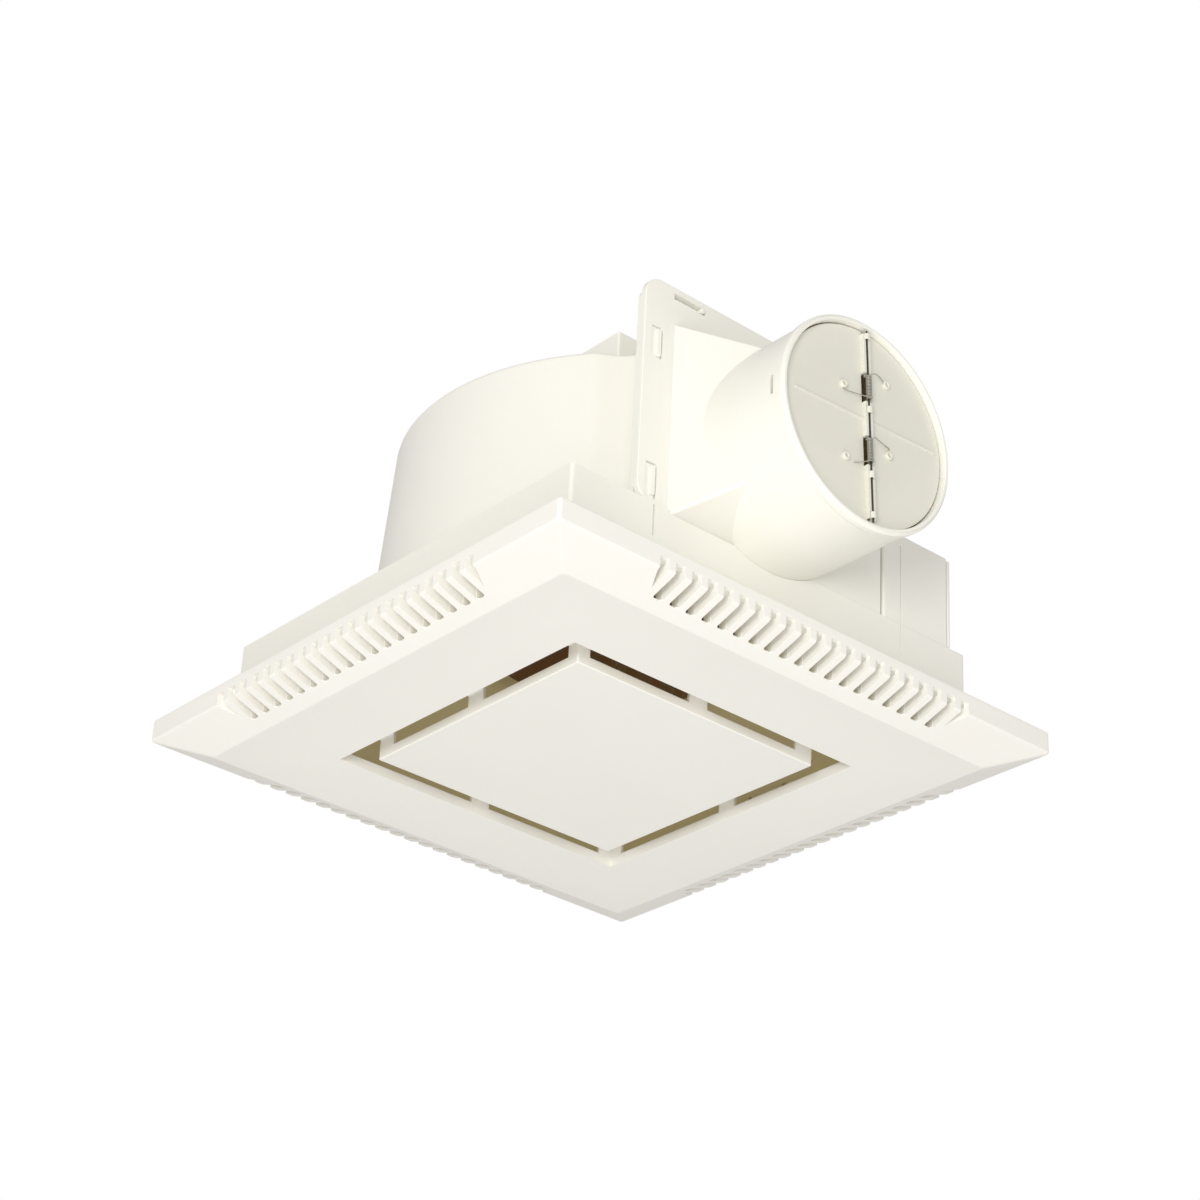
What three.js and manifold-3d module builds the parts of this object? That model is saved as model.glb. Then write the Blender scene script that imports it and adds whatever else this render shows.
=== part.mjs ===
// Ceiling extractor fan with a square intake grille, a centrifugal blower and a side spigot with a two-flap
// backdraft damper. Millimetres, +Z up into the ceiling void, origin at the centre of the grille's underside.
import * as THREE from "three";
import { mergeVertices } from "three/addons/utils/BufferGeometryUtils.js";
import Module from "manifold-3d";

const wasm = await Module();
wasm.setup();

// ---------- driving dimensions ----------
const CEILING = 19; // underside of the ceiling board, where the rim and the flange meet it
const PANEL = 150, PLATEAU = 128, RIM_LOW = 8, SKIN = 2.2; // half sizes and heights of the grille's face
const OPEN = 85, CENTRE = 72, LIP = 5, LIP_T = 2; // square intake opening and the plate that floats in it
const SLOT_PITCH = 9.2, SLOT_W = 5.3, SLOT_IN = 135, SLOT_TOP = 13.7, SLOTS = 9;
const BOX = 122.5, BOX_T = 2, BOX_TOP = 59, FLANGE = 138;
const AX = 5, AY = -5; // fan axis
const ROOF = 150, DRAFT = 5.5, WALL = 2.2; // scroll
const OUT_X = -5, OUT_Z = 104.5, PIPE_R = 52, PIPE_IN = 50, MOUTH = -183; // spigot
const PLATE_Y = -120.3, PLATE_BACK = -116.7; // duct adaptor's plate
const PIN_Y = -182.2, PIN_R = 0.7, PIN_X = -3.2, FLAP_R = 48.2, FLAP_OUT = -179.9, FLAP_BACK = -178.6;
const LEAN = (-2.75 * Math.PI) / 180; // the damper sits turned by this much about the spigot's axis
const WHEEL_R = 76.4, WHEEL_LOW = 64, WHEEL_TOP = 124, BLADES = 36;

// ---------- solids ----------
function solid(g) {
  const p = new THREE.BufferGeometry().setAttribute("position", (g.index ? g.toNonIndexed() : g).getAttribute("position"));
  const m = mergeVertices(p, 1e-4);
  const idx = [], src = m.index.array, pos = m.attributes.position.array;
  for (let i = 0; i < src.length; i += 3) {
    const [a, b, c] = [src[i], src[i + 1], src[i + 2]];
    if (a !== b && b !== c && a !== c) idx.push(a, b, c);
  }
  return new wasm.Manifold(new wasm.Mesh({ numProp: 3, vertProperties: Float32Array.from(pos), triVerts: Uint32Array.from(idx) }));
}
function moved(g, m) { const c = g.clone(); c.applyMatrix4(m); return c; }
const T = (x, y, z) => new THREE.Matrix4().makeTranslation(x, y, z);
// Turns a solid made along +Z so that it runs along +Y or +X.
const TO_Y = new THREE.Matrix4().makeRotationX(-Math.PI / 2);
const TO_X = new THREE.Matrix4().makeRotationY(Math.PI / 2);

function box(x0, x1, y0, y1, z0, z1) {
  return solid(new THREE.BoxGeometry(x1 - x0, y1 - y0, z1 - z0).translate((x0 + x1) / 2, (y0 + y1) / 2, (z0 + z1) / 2));
}
function lathe(profile, n, where, turn) {
  // profile: [radius, height] pairs, closed or starting and ending on the axis, counter-clockwise seen with radius to the right
  const pts = profile.map(([r, z]) => new THREE.Vector2(r, z));
  let g = new THREE.LatheGeometry(pts, n).rotateX(Math.PI / 2);
  if (turn) g = moved(g, turn);
  return solid(moved(g, where));
}
const disc = (r, z0, z1) => [[0, z0], [r, z0], [r, z1], [0, z1]];
const tube = (ri, ro, z0, z1) => [[ri, z0], [ro, z0], [ro, z1], [ri, z1], [ri, z0]];
const cylZ = (x, y, r, z0, z1, n = 24) => lathe(disc(r, z0, z1), n, T(x, y, 0));
const cylY = (x, z, r, y0, y1, n = 24) => lathe(disc(r, y0, y1), n, T(x, 0, z), TO_Y);
const cylX = (y, z, r, x0, x1, n = 24) => lathe(disc(r, x0, x1), n, T(0, y, z), TO_X);
const ringZ = (x, y, ri, ro, z0, z1, n = 32) => lathe(tube(ri, ro, z0, z1), n, T(x, y, 0));
const ringY = (x, z, ri, ro, y0, y1, n = 32) => lathe(tube(ri, ro, y0, y1), n, T(x, 0, z), TO_Y);

// Closed body through matching outlines, each {p: [[u, v], ...], w: height}; map turns (u, v, w) into (x, y, z).
function loft(levels, map = (u, v, w) => [u, v, w]) {
  const n = levels[0].p.length, pos = [], tri = [];
  levels.forEach((l) => l.p.forEach(([u, v]) => pos.push(...map(u, v, l.w))));
  for (let k = 0; k + 1 < levels.length; k++)
    for (let i = 0; i < n; i++) {
      const a = k * n + i, b = k * n + ((i + 1) % n), c = a + n, d = b + n;
      tri.push(a, b, d, a, d, c);
    }
  const cap = (l, base, flip) => {
    for (const [a, b, c] of THREE.ShapeUtils.triangulateShape(l.p.map(([u, v]) => new THREE.Vector2(u, v)), []))
      flip ? tri.push(base + c, base + b, base + a) : tri.push(base + a, base + b, base + c);
  };
  cap(levels[0], 0, true);
  cap(levels[levels.length - 1], (levels.length - 1) * n, false);
  const g = new THREE.BufferGeometry().setAttribute("position", new THREE.BufferAttribute(new Float32Array(pos), 3));
  g.setIndex(tri);
  return solid(g);
}
// Rounded rectangle, counter-clockwise.
function rr(x0, x1, y0, y1, r, n = 3) {
  const out = [];
  [[x1 - r, y1 - r, 0], [x0 + r, y1 - r, 1], [x0 + r, y0 + r, 2], [x1 - r, y0 + r, 3]].forEach(([cx, cy, q]) => {
    for (let i = 0; i <= n; i++) {
      const a = (q + i / n) * Math.PI / 2;
      out.push([cx + r * Math.cos(a), cy + r * Math.sin(a)]);
    }
  });
  return out;
}
const sq = (h, r, n) => rr(-h, h, -h, h, r, n);
// Maps an outline drawn in X and Z (counter-clockwise seen from +Y looking to -Y would be reversed) so that w runs along -Y.
const ALONG_Y = (u, v, w) => [u, -w, v];
const prismZ = (p, z0, z1) => loft([{ p, w: z0 }, { p, w: z1 }]);
const prismY = (p, y0, y1) => loft([{ p, w: -y1 }, { p, w: -y0 }], ALONG_Y);
// Round wire along a smooth path.
function wire(points, r, steps, sides = 8, closed = false) {
  const curve = new THREE.CatmullRomCurve3(points.map((p) => new THREE.Vector3(...p)), closed, "centripetal");
  const s = new THREE.Shape();
  for (let i = 0; i < sides; i++) {
    const a = (i / sides) * 2 * Math.PI;
    i ? s.lineTo(r * Math.cos(a), r * Math.sin(a)) : s.moveTo(r, 0);
  }
  s.closePath();
  return solid(new THREE.ExtrudeGeometry(s, { steps, extrudePath: curve, bevelEnabled: false }));
}
const all = (first, ...rest) => rest.reduce((a, b) => a.add(b), first);
const cut = (first, ...rest) => rest.reduce((a, b) => a.subtract(b), first);

// ---------- materials ----------
const mats = {
  cream: new THREE.MeshStandardMaterial({ color: 0xf3f0e6, roughness: 0.42, metalness: 0 }),
  flap: new THREE.MeshStandardMaterial({ color: 0xdedccf, roughness: 0.5, metalness: 0 }),
  wheel: new THREE.MeshStandardMaterial({ color: 0x4a3420, roughness: 0.55, metalness: 0 }),
  steel: new THREE.MeshStandardMaterial({ color: 0xb8bbbe, roughness: 0.3, metalness: 1 }),
  dark: new THREE.MeshStandardMaterial({ color: 0x26241f, roughness: 0.45, metalness: 0.7 }),
  copper: new THREE.MeshStandardMaterial({ color: 0xa65a2c, roughness: 0.4, metalness: 0.6 }),
  lamin: new THREE.MeshStandardMaterial({ color: 0x6e7074, roughness: 0.5, metalness: 0.8 }),
  foam: new THREE.MeshStandardMaterial({ color: 0x2b2b2b, roughness: 0.9, metalness: 0 }),
  block: new THREE.MeshStandardMaterial({ color: 0xe9e6da, roughness: 0.5, metalness: 0 }),
  grey: new THREE.MeshStandardMaterial({ color: 0x5a5c5e, roughness: 0.6, metalness: 0 }),
};
const group = new THREE.Group();
group.name = "extractor_fan";
const bodies = {};
function body(name) {
  if (!bodies[name]) { bodies[name] = new THREE.Group(); bodies[name].name = name; group.add(bodies[name]); }
  return bodies[name];
}
function put(where, name, s, mat, turn) {
  const m = s.getMesh(), n = m.numProp, v = new Float32Array(m.numVert * 3);
  for (let i = 0; i < m.numVert; i++) v.set(m.vertProperties.subarray(i * n, i * n + 3), i * 3);
  const g = new THREE.BufferGeometry().setAttribute("position", new THREE.BufferAttribute(v, 3));
  g.setIndex(new THREE.BufferAttribute(new Uint32Array(m.triVerts), 1));
  g.computeVertexNormals();
  const mesh = new THREE.Mesh(g, mats[mat]);
  mesh.name = name;
  if (turn) mesh.applyMatrix4(turn);
  body(where).add(mesh);
}
// Pan head screw along +Z (dir 1: head above the shank) or -Z (dir -1: head below), head's seat at z.
function screwZ(x, y, z, dir, rh, hh, rs, ls) {
  const p = dir > 0
    ? [[0, z - ls], [rs, z - ls], [rs, z], [rh, z], [rh * 0.8, z + hh], [0, z + hh]]
    : [[0, z - hh], [rh * 0.8, z - hh], [rh, z], [rs, z], [rs, z + ls], [0, z + ls]];
  return lathe(p, 10, T(x, y, 0));
}

// ---------- grille ----------
{
  let g = loft([{ p: sq(PLATEAU, 2), w: 0 }, { p: sq(PANEL, 2), w: RIM_LOW }, { p: sq(PANEL, 2), w: CEILING - 0.2 }]);
  g = g.subtract(loft([{ p: sq(PLATEAU - 0.4, 1.8), w: SKIN }, { p: sq(PANEL - SKIN, 1.4), w: 9.54 }, { p: sq(PANEL - SKIN, 1.4), w: CEILING + 1 }]));
  // square intake with an upstanding lip
  g = g.subtract(box(-OPEN, OPEN, -OPEN, OPEN, -1, 30));
  g = g.add(cut(prismZ(sq(OPEN + LIP_T, 0.6, 1), 0.6, LIP), box(-OPEN, OPEN, -OPEN, OPEN, -1, 30)));
  // floating centre plate: shallow tray, edge wall upwards
  let plate = loft([{ p: sq(CENTRE - 0.4, 0.5, 1), w: 0 }, { p: sq(CENTRE, 0.8, 1), w: 0.4 }, { p: sq(CENTRE, 0.8, 1), w: LIP }]);
  plate = plate.subtract(prismZ(sq(CENTRE - LIP_T, 0.5, 1), SKIN, 30));
  // arched bridges: a leg on the plate's edge, a leg on the lip, a web on top
  const web0 = 10.5, web1 = 12.5;
  const bridgeX = (s, y0, y1) => { // on the side facing +X (s=1) or -X (s=-1)
    const b = (a, c, z0, z1) => (s > 0 ? box(a, c, y0, y1, z0, z1) : box(-c, -a, y0, y1, z0, z1));
    return [b(CENTRE - LIP_T, CENTRE, SKIN, web1), b(OPEN, OPEN + LIP_T, 1, web1), b(CENTRE - LIP_T, OPEN + LIP_T, web0, web1)];
  };
  const bridgeY = (s, x0, x1) => {
    const b = (a, c, z0, z1) => (s > 0 ? box(x0, x1, a, c, z0, z1) : box(x0, x1, -c, -a, z0, z1));
    return [b(CENTRE - LIP_T, CENTRE, SKIN, web1), b(OPEN, OPEN + LIP_T, 1, web1), b(CENTRE - LIP_T, OPEN + LIP_T, web0, web1)];
  };
  const corner = (s) => { // near (-1) and far (+1) corners on the diagonal
    const sqr = (a, c, z0, z1) => (s > 0 ? box(a, c, a, c, z0, z1) : box(-c, -a, -c, -a, z0, z1));
    return [
      cut(sqr(65, CENTRE, SKIN, web1), sqr(0, CENTRE - LIP_T, SKIN - 1, web1 + 1)),
      cut(sqr(77.5, OPEN + LIP_T, 1, web1), sqr(0, OPEN, 0, web1 + 1)),
      sqr(65, OPEN + LIP_T, web0, web1),
    ];
  };
  g = all(g, plate, ...bridgeX(-1, -5.5, 5.5), ...bridgeX(1, -5.5, 5.5), ...bridgeY(-1, -5.5, 5.5), ...bridgeY(1, -5.5, 5.5),
    ...bridgeX(-1, 61.5, CENTRE), ...bridgeY(-1, 61.5, CENTRE), ...corner(-1), ...corner(1));
  // comb of slots over the sloping margin and up the rim, on all four sides, with tall fins between them
  for (let side = 0; side < 4; side++) {
    const c = Math.round(Math.cos(side * Math.PI / 2)), s = Math.round(Math.sin(side * Math.PI / 2));
    const sec = [[131.5, 2.2], [148.5, 8.2], [148.5, 12], [131.5, 12]];
    let block = loft([{ p: sec, w: -96.5 }, { p: sec, w: 96.5 }], (u, v, w) => [c * -w + s * u, s * -w - c * u, v]);
    for (let k = -SLOTS; k <= SLOTS; k++) {
      const x = k * SLOT_PITCH, h = SLOT_W / 2, p = [[x - h, -136], [x + h, -136], [x + h, -131], [x - h, -131]];
      block = block.subtract(prismZ(p.map(([a, b]) => [c * a - s * b, s * a + c * b]), 5.4, SLOT_TOP));
    }
    g = g.add(block);
  }
  for (let side = 0; side < 4; side++) {
    const c = Math.cos(side * Math.PI / 2), s = Math.sin(side * Math.PI / 2);
    const turn = (p) => p.map(([x, y]) => [c * x - s * y, s * x + c * y]);
    for (let k = -SLOTS; k <= SLOTS; k++) {
      const x = k * SLOT_PITCH, h = SLOT_W / 2;
      g = g.subtract(prismZ(turn([[x - h, -PANEL - 1], [x + h, -PANEL - 1], [x + h, -SLOT_IN], [x - h, -SLOT_IN]]), -1, SLOT_TOP));
    }
    for (const e of [-1, 1]) {
      const p = [[e * 89.4, -PANEL - 1], [e * 94.6, -PANEL - 1], [e * 89.4, -140]];
      g = g.subtract(prismZ(turn(e > 0 ? p : p.slice().reverse()), -1, SLOT_TOP));
    }
  }
  // clip bosses for the retaining springs
  for (const s of [-1, 1])
    g = g.add(cut(box(s * 112 - 3.5, s * 112 + 3.5, -3, 3, SKIN - 1, 9.5), box(s * 112 - 1.1, s * 112 + 1.1, -4, 4, 4.3, 12)));
  put("grille", "intake_grille", g, "cream");
}
for (const [s, name] of [[-1, "grille_spring_left"], [1, "grille_spring_right"]]) {
  const x = s * 112;
  put("grille", name, wire([[x, -26, 50], [x, -28, 53.4], [x, -26.4, 54.6], [x, -24.5, 51], [x, -5, 9.5], [x, -2.5, 6.2], [x, 0, 5.4], [x, 2.5, 6.2], [x, 5, 9.5], [x, 24.5, 51], [x, 26.4, 54.6], [x, 28, 53.4], [x, 26, 50]].slice(1, -1), 0.8, 26, 6), "steel");
}

// ---------- mounting frame: ceiling flange, box and deck ----------
{
  let f = prismZ(sq(BOX, 2, 4), CEILING - 2, BOX_TOP);
  f = f.subtract(prismZ(sq(BOX - BOX_T, 1, 4), CEILING - 3, BOX_TOP - 2));
  f = f.add(cut(prismZ(sq(FLANGE, 6, 4), CEILING - 2, CEILING), prismZ(sq(BOX - 0.5, 2, 4), CEILING - 3, CEILING + 1)));
  f = f.subtract(cylZ(AX, AY, 79, 50, 62, 44));
  // shelves with slots for the grille springs
  for (const s of [-1, 1]) {
    const b = (x0, x1, y0, y1, z0, z1) => (s > 0 ? box(x0, x1, y0, y1, z0, z1) : box(-x1, -x0, y0, y1, z0, z1));
    f = f.add(cut(b(104, BOX - 1, -35, 35, 22, 24), b(108, 116, -31, 31, 20, 26)));
    for (const y of [-33.5, 32])
      f = f.add(loft([{ p: [[104.5, 22.5], [BOX - 1, 22.5], [BOX - 1, 38]], w: 0 }, { p: [[104.5, 22.5], [BOX - 1, 22.5], [BOX - 1, 38]], w: 1.5 }],
        s > 0 ? (u, v, w) => [u, y + 1.5 - w, v] : (u, v, w) => [-u, y + w, v]));
  }
  // the hood and the spigot pass over and into the wall's top edge
  f = f.subtract(prismY([[-69, 60], [-66.8, 56.8], [17, 56.8], [19.6, 60]], -124, -119.8));
  f = f.subtract(cylY(OUT_X, OUT_Z, PIPE_R + 0.5, -124, -119.8, 48));
  // narrow seams in the wall under the adaptor and under the terminal box
  f = f.subtract(box(-76, -75, -124, -119, 42, 57.9));
  f = f.subtract(box(78.5, 79.3, -124, -121.4, 43, 60));
  for (const x of [-1, 1]) for (const y of [-1, 1]) f = f.subtract(cylZ(x * 130.5, y * 130.5, 2.6, 10, 25, 16));
  for (let i = 0; i < 4; i++) {
    const a = (45 + 90 * i) * Math.PI / 180;
    f = f.subtract(cylZ(AX + 82.5 * Math.cos(a), AY + 82.5 * Math.sin(a), 1.8, 50, 62, 12));
  }
  put("housing", "mounting_frame", f, "cream");
}

// ---------- inlet ring (bell mouth) ----------
{
  const p = [[64, 60], [65.2, 56.8], [69.5, 54.6], [86.5, 54.6], [86.5, 56.7], [71, 56.7], [66.6, 60], [66, 63.2], [64, 63.2], [64, 60]];
  let r = lathe(p, 36, T(AX, AY, 0));
  for (let i = 0; i < 4; i++) {
    const a = (45 + 90 * i) * Math.PI / 180, x = AX + 82.5 * Math.cos(a), y = AY + 82.5 * Math.sin(a);
    r = r.subtract(cylZ(x, y, 1.8, 50, 62, 12));
    put("housing", "inlet_screw_" + (i + 1), screwZ(x, y, 54.3, -1, 3.1, 1.9, 1.45, 4.4), "steel");
  }
  put("housing", "inlet_ring", r, "cream");
}

// ---------- scroll ----------
const scrollLine = (() => {
  const p = [[60, -112.9], [60, -84], [60, -76]];
  for (let i = 0; i <= 34; i++) {
    const deg = -50 + (269.7 * i) / 34, R = 112.4 + 0.13 * (deg - 150.9), a = deg * Math.PI / 180;
    p.push([AX + R * Math.cos(a), AY + R * Math.sin(a)]);
  }
  p.push([-84.5, -87.6], [-78.5, -91.6], [-73, -96], [-70.4, -101], [-70, -106], [-70, -112.9]);
  return p;
})();
// Offsets the line sideways; its first and last points keep their Y so that the outlet stays square.
function offsetLine(p, d) {
  return p.map(([x, y], i) => {
    const a = p[Math.max(0, i - 1)], b = p[Math.min(p.length - 1, i + 1)];
    const tx = b[0] - a[0], ty = b[1] - a[1], l = Math.hypot(tx, ty);
    const end = i === 0 || i === p.length - 1;
    return end ? [x + d * Math.sign(x), y] : [x + (d * ty) / l, y - (d * tx) / l];
  });
}
{
  const mouth = (q, y) => q.map(([x, v], i) => [x, i === 0 || i === q.length - 1 ? y : v]);
  const shrink = (d) => mouth(offsetLine(scrollLine, d), -118);
  let s = loft([{ p: offsetLine(scrollLine, DRAFT), w: BOX_TOP + 0.3 }, { p: scrollLine, w: ROOF }]);
  // flange that carries the adaptor
  s = s.add(prismY(rr(-82, 64, BOX_TOP + 0.3, 174, 6), -115.1, -112.6));
  s = s.subtract(loft([{ p: shrink(DRAFT - WALL), w: BOX_TOP - 1 }, { p: shrink(-WALL), w: ROOF - WALL }]));
  // roof hole for the motor, screw holes and posts for the motor cover
  s = s.subtract(cylZ(AX, AY, 45, 140, 160, 32));
  for (const x of [-58, 51]) for (const y of [-74, 64])
    s = s.add(cylZ(x, y, 4, ROOF - 1, 168.6, 16)).subtract(cylZ(x, y, 1.75, 158, 170, 12));
  for (let i = 0; i < 3; i++) {
    const a = (30 + 120 * i) * Math.PI / 180;
    s = s.subtract(cylZ(AX + 48.5 * Math.cos(a), AY + 48.5 * Math.sin(a), 1.8, 140, 160, 12));
  }
  put("housing", "scroll_housing", s, "cream");
}

// ---------- motor cover on the scroll's roof ----------
{
  let c = loft([{ p: rr(-68, 60, -83.5, 73, 1.2, 2), w: ROOF + 0.3 }, { p: rr(-68, 60, -83.5, 73, 1.2, 2), w: 170.6 }, { p: rr(-67.6, 59.6, -83.1, 72.6, 0.8, 2), w: 171 }]);
  c = c.subtract(prismZ(rr(-66, 58, -81.5, 71, 1, 2), ROOF - 1, 169));
  const spots = [];
  for (const x of [-58, 51]) for (const y of [-74, 64]) spots.push([x, y]);
  spots.forEach(([x, y], i) => {
    c = c.subtract(cylZ(x, y, 1.9, 160, 175, 12));
    put("housing", "cover_screw_" + (i + 1), screwZ(x, y, 171.3, 1, 3.4, 2, 1.45, 11), "steel");
  });
  c = c.subtract(cylX(-64, 159, 3, 50, 90, 16));
  put("housing", "motor_cover", c, "cream");
}

// ---------- motor ----------
{
  const at = T(AX, AY, 0);
  let lo = lathe([[6, 126], [42, 126], [42, 145.5], [52, 145.5], [52, 147.5], [40, 147.5], [40, 128], [13, 128], [13, 133.5], [11.3, 133.5], [11.3, 128], [6, 128], [6, 126]], 28, at);
  for (let i = 0; i < 3; i++) {
    const a = (30 + 120 * i) * Math.PI / 180, x = AX + 48.5 * Math.cos(a), y = AY + 48.5 * Math.sin(a);
    lo = lo.subtract(cylZ(x, y, 1.8, 140, 150, 12));
    put("housing", "motor_screw_" + (i + 1), screwZ(x, y, 145.2, -1, 3.1, 1.9, 1.45, 4.4), "steel");
  }
  put("housing", "motor_shell_lower", lo, "lamin");
  put("housing", "motor_shell_upper", lathe([[0, 166], [11.3, 166], [11.3, 160.5], [13, 160.5], [13, 166], [40, 166], [40, 147.8], [42, 147.8], [42, 165.5], [40.5, 168], [0, 168]], 28, at), "lamin");
  put("housing", "stator_core", lathe(tube(22, 39.3, 140, 156), 28, at), "lamin");
  const coil = (z0, z1) => [[24, z0], [37, z0], [37, z1], [24, z1], [24, z0]];
  put("housing", "winding_lower", lathe(coil(134.6, 139.7), 24, at), "copper");
  put("housing", "winding_upper", lathe(coil(156.3, 161.4), 24, at), "copper");
  put("housing", "bearing_lower", lathe(tube(4.08, 11, 128.3, 134.2), 24, at), "steel");
  put("housing", "bearing_upper", lathe(tube(4.08, 11, 159.8, 165.7), 24, at), "steel");
  put("wheel", "motor_rotor", lathe([[4.3, 140], [20, 140], [21.4, 141], [21.4, 155], [20, 156], [4.3, 156], [4.3, 140]], 24, at), "lamin");
  put("wheel", "motor_shaft", lathe([[0, 88], [3.2, 88], [4, 89], [4, 165], [0, 165]], 24, at), "steel");
}

// ---------- blower wheel ----------
{
  const at = T(AX, AY, 0);
  put("wheel", "wheel_backplate", lathe([[4.3, 97], [11, 97], [13, 118], [18, 122], [WHEEL_R, 122], [WHEEL_R, WHEEL_TOP], [4.3, WHEEL_TOP], [4.3, 97]], 36, at), "wheel");
  // crown of blades on the inlet-side ring, fixed under the back plate
  let w = lathe(tube(70.5, WHEEL_R, WHEEL_LOW, WHEEL_LOW + 3), 36, at);
  for (let i = 0; i < BLADES; i++) {
    const a0 = (i / BLADES) * 2 * Math.PI, out = [], inn = [];
    // forward-curved: the tip leads towards the direction of turn
    for (let k = 0; k <= 2; k++) {
      const r = 62.5 + (13.1 * k) / 2, a = a0 + 0.115 * (k / 2) ** 2 - 0.018 * k, t = 0.65;
      const dir = a + Math.PI / 2;
      out.push([AX + r * Math.cos(a) + t * Math.cos(dir), AY + r * Math.sin(a) + t * Math.sin(dir)]);
      inn.push([AX + r * Math.cos(a) - t * Math.cos(dir), AY + r * Math.sin(a) - t * Math.sin(dir)]);
    }
    w = w.add(prismZ([...inn, ...out.reverse()], WHEEL_LOW + 1.5, 121.7));
  }
  put("wheel", "wheel_blades", w, "wheel");
  put("wheel", "wheel_washer", lathe(tube(4.3, 11.5, 95.2, 96.7), 20, at), "steel");
  const hex = [];
  for (let i = 0; i < 6; i++) hex.push([AX + 7.5 * Math.cos((i * Math.PI) / 3), AY + 7.5 * Math.sin((i * Math.PI) / 3)]);
  put("wheel", "wheel_nut", cut(prismZ(hex, 89.6, 94.9), cylZ(AX, AY, 4.3, 80, 100, 24)), "steel");
}

// ---------- duct adaptor: plate, tapering hood and round spigot ----------
{
  const rect = (t, d) => [[-66 + d + 0.76 * t, 57.3 + d + 0.5 * t], [16 - 0.5 * d + 0.2 * t, 57.3 + d + 0.5 * t], [48 - d - 0.2 * t, 98 + 0.5 * d], [48 - d - 0.2 * t, 158 - d - 0.5 * t], [-66 + d + 0.76 * t, 158 - d - 0.5 * t]];
  let a = prismY(rr(-84, 65.4, BOX_TOP + 0.3, 178, 10, 4), PLATE_Y, PLATE_BACK);
  // thicker pad beside the spigot, flush with the tray's wall
  a = a.add(box(20, 65.4, -122.4, PLATE_BACK, BOX_TOP + 0.3, 134));
  a = a.add(loft([{ p: rect(0, 0), w: -PLATE_Y }, { p: rect(36, 0), w: -PLATE_Y + 36 }], ALONG_Y));
  a = a.add(lathe([[0, MOUTH], [52.4, MOUTH], [52.9, MOUTH + 0.5], [52.9, MOUTH + 3.6], [PIPE_R, MOUTH + 4.4], [PIPE_R, PLATE_Y], [0, PLATE_Y]], 52, T(OUT_X, 0, OUT_Z), TO_Y));
  a = a.subtract(loft([{ p: rect(-5, 2.2), w: -PLATE_Y - 5 }, { p: rect(33, 2.2), w: -PLATE_Y + 33 }], ALONG_Y).intersect(box(-63.5, 53.5, -200, -100, 59.5, 155.8)));
  a = a.subtract(cylY(OUT_X, OUT_Z, PIPE_IN, MOUTH - 1, PLATE_BACK + 1, 52));
  // snap windows in the plate and a slit in the spigot's side
  for (const [x0, x1] of [[-67, -48], [33, 52]]) a = a.subtract(box(x0, x1, -122, -115, 171, 174.6));
  a = a.subtract(box(-79.5, -73, -122, -115, 135, 152)).subtract(box(54.4, 60.4, -122, -115, 137, 152));
  a = a.subtract(box(-79.5, -73, -122, -115, 62, 80));
  a = a.subtract(box(-60, -54, -176, -174.6, 99.5, 109.5));
  put("housing", "duct_adaptor", a, "cream");
  put("housing", "adaptor_gasket", cut(prismY(rr(-72, 62, 59.6, 160, 3), -116.4, -115.4), box(-66, 56, -118, -114, 61.6, 156)), "foam");
}

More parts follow.
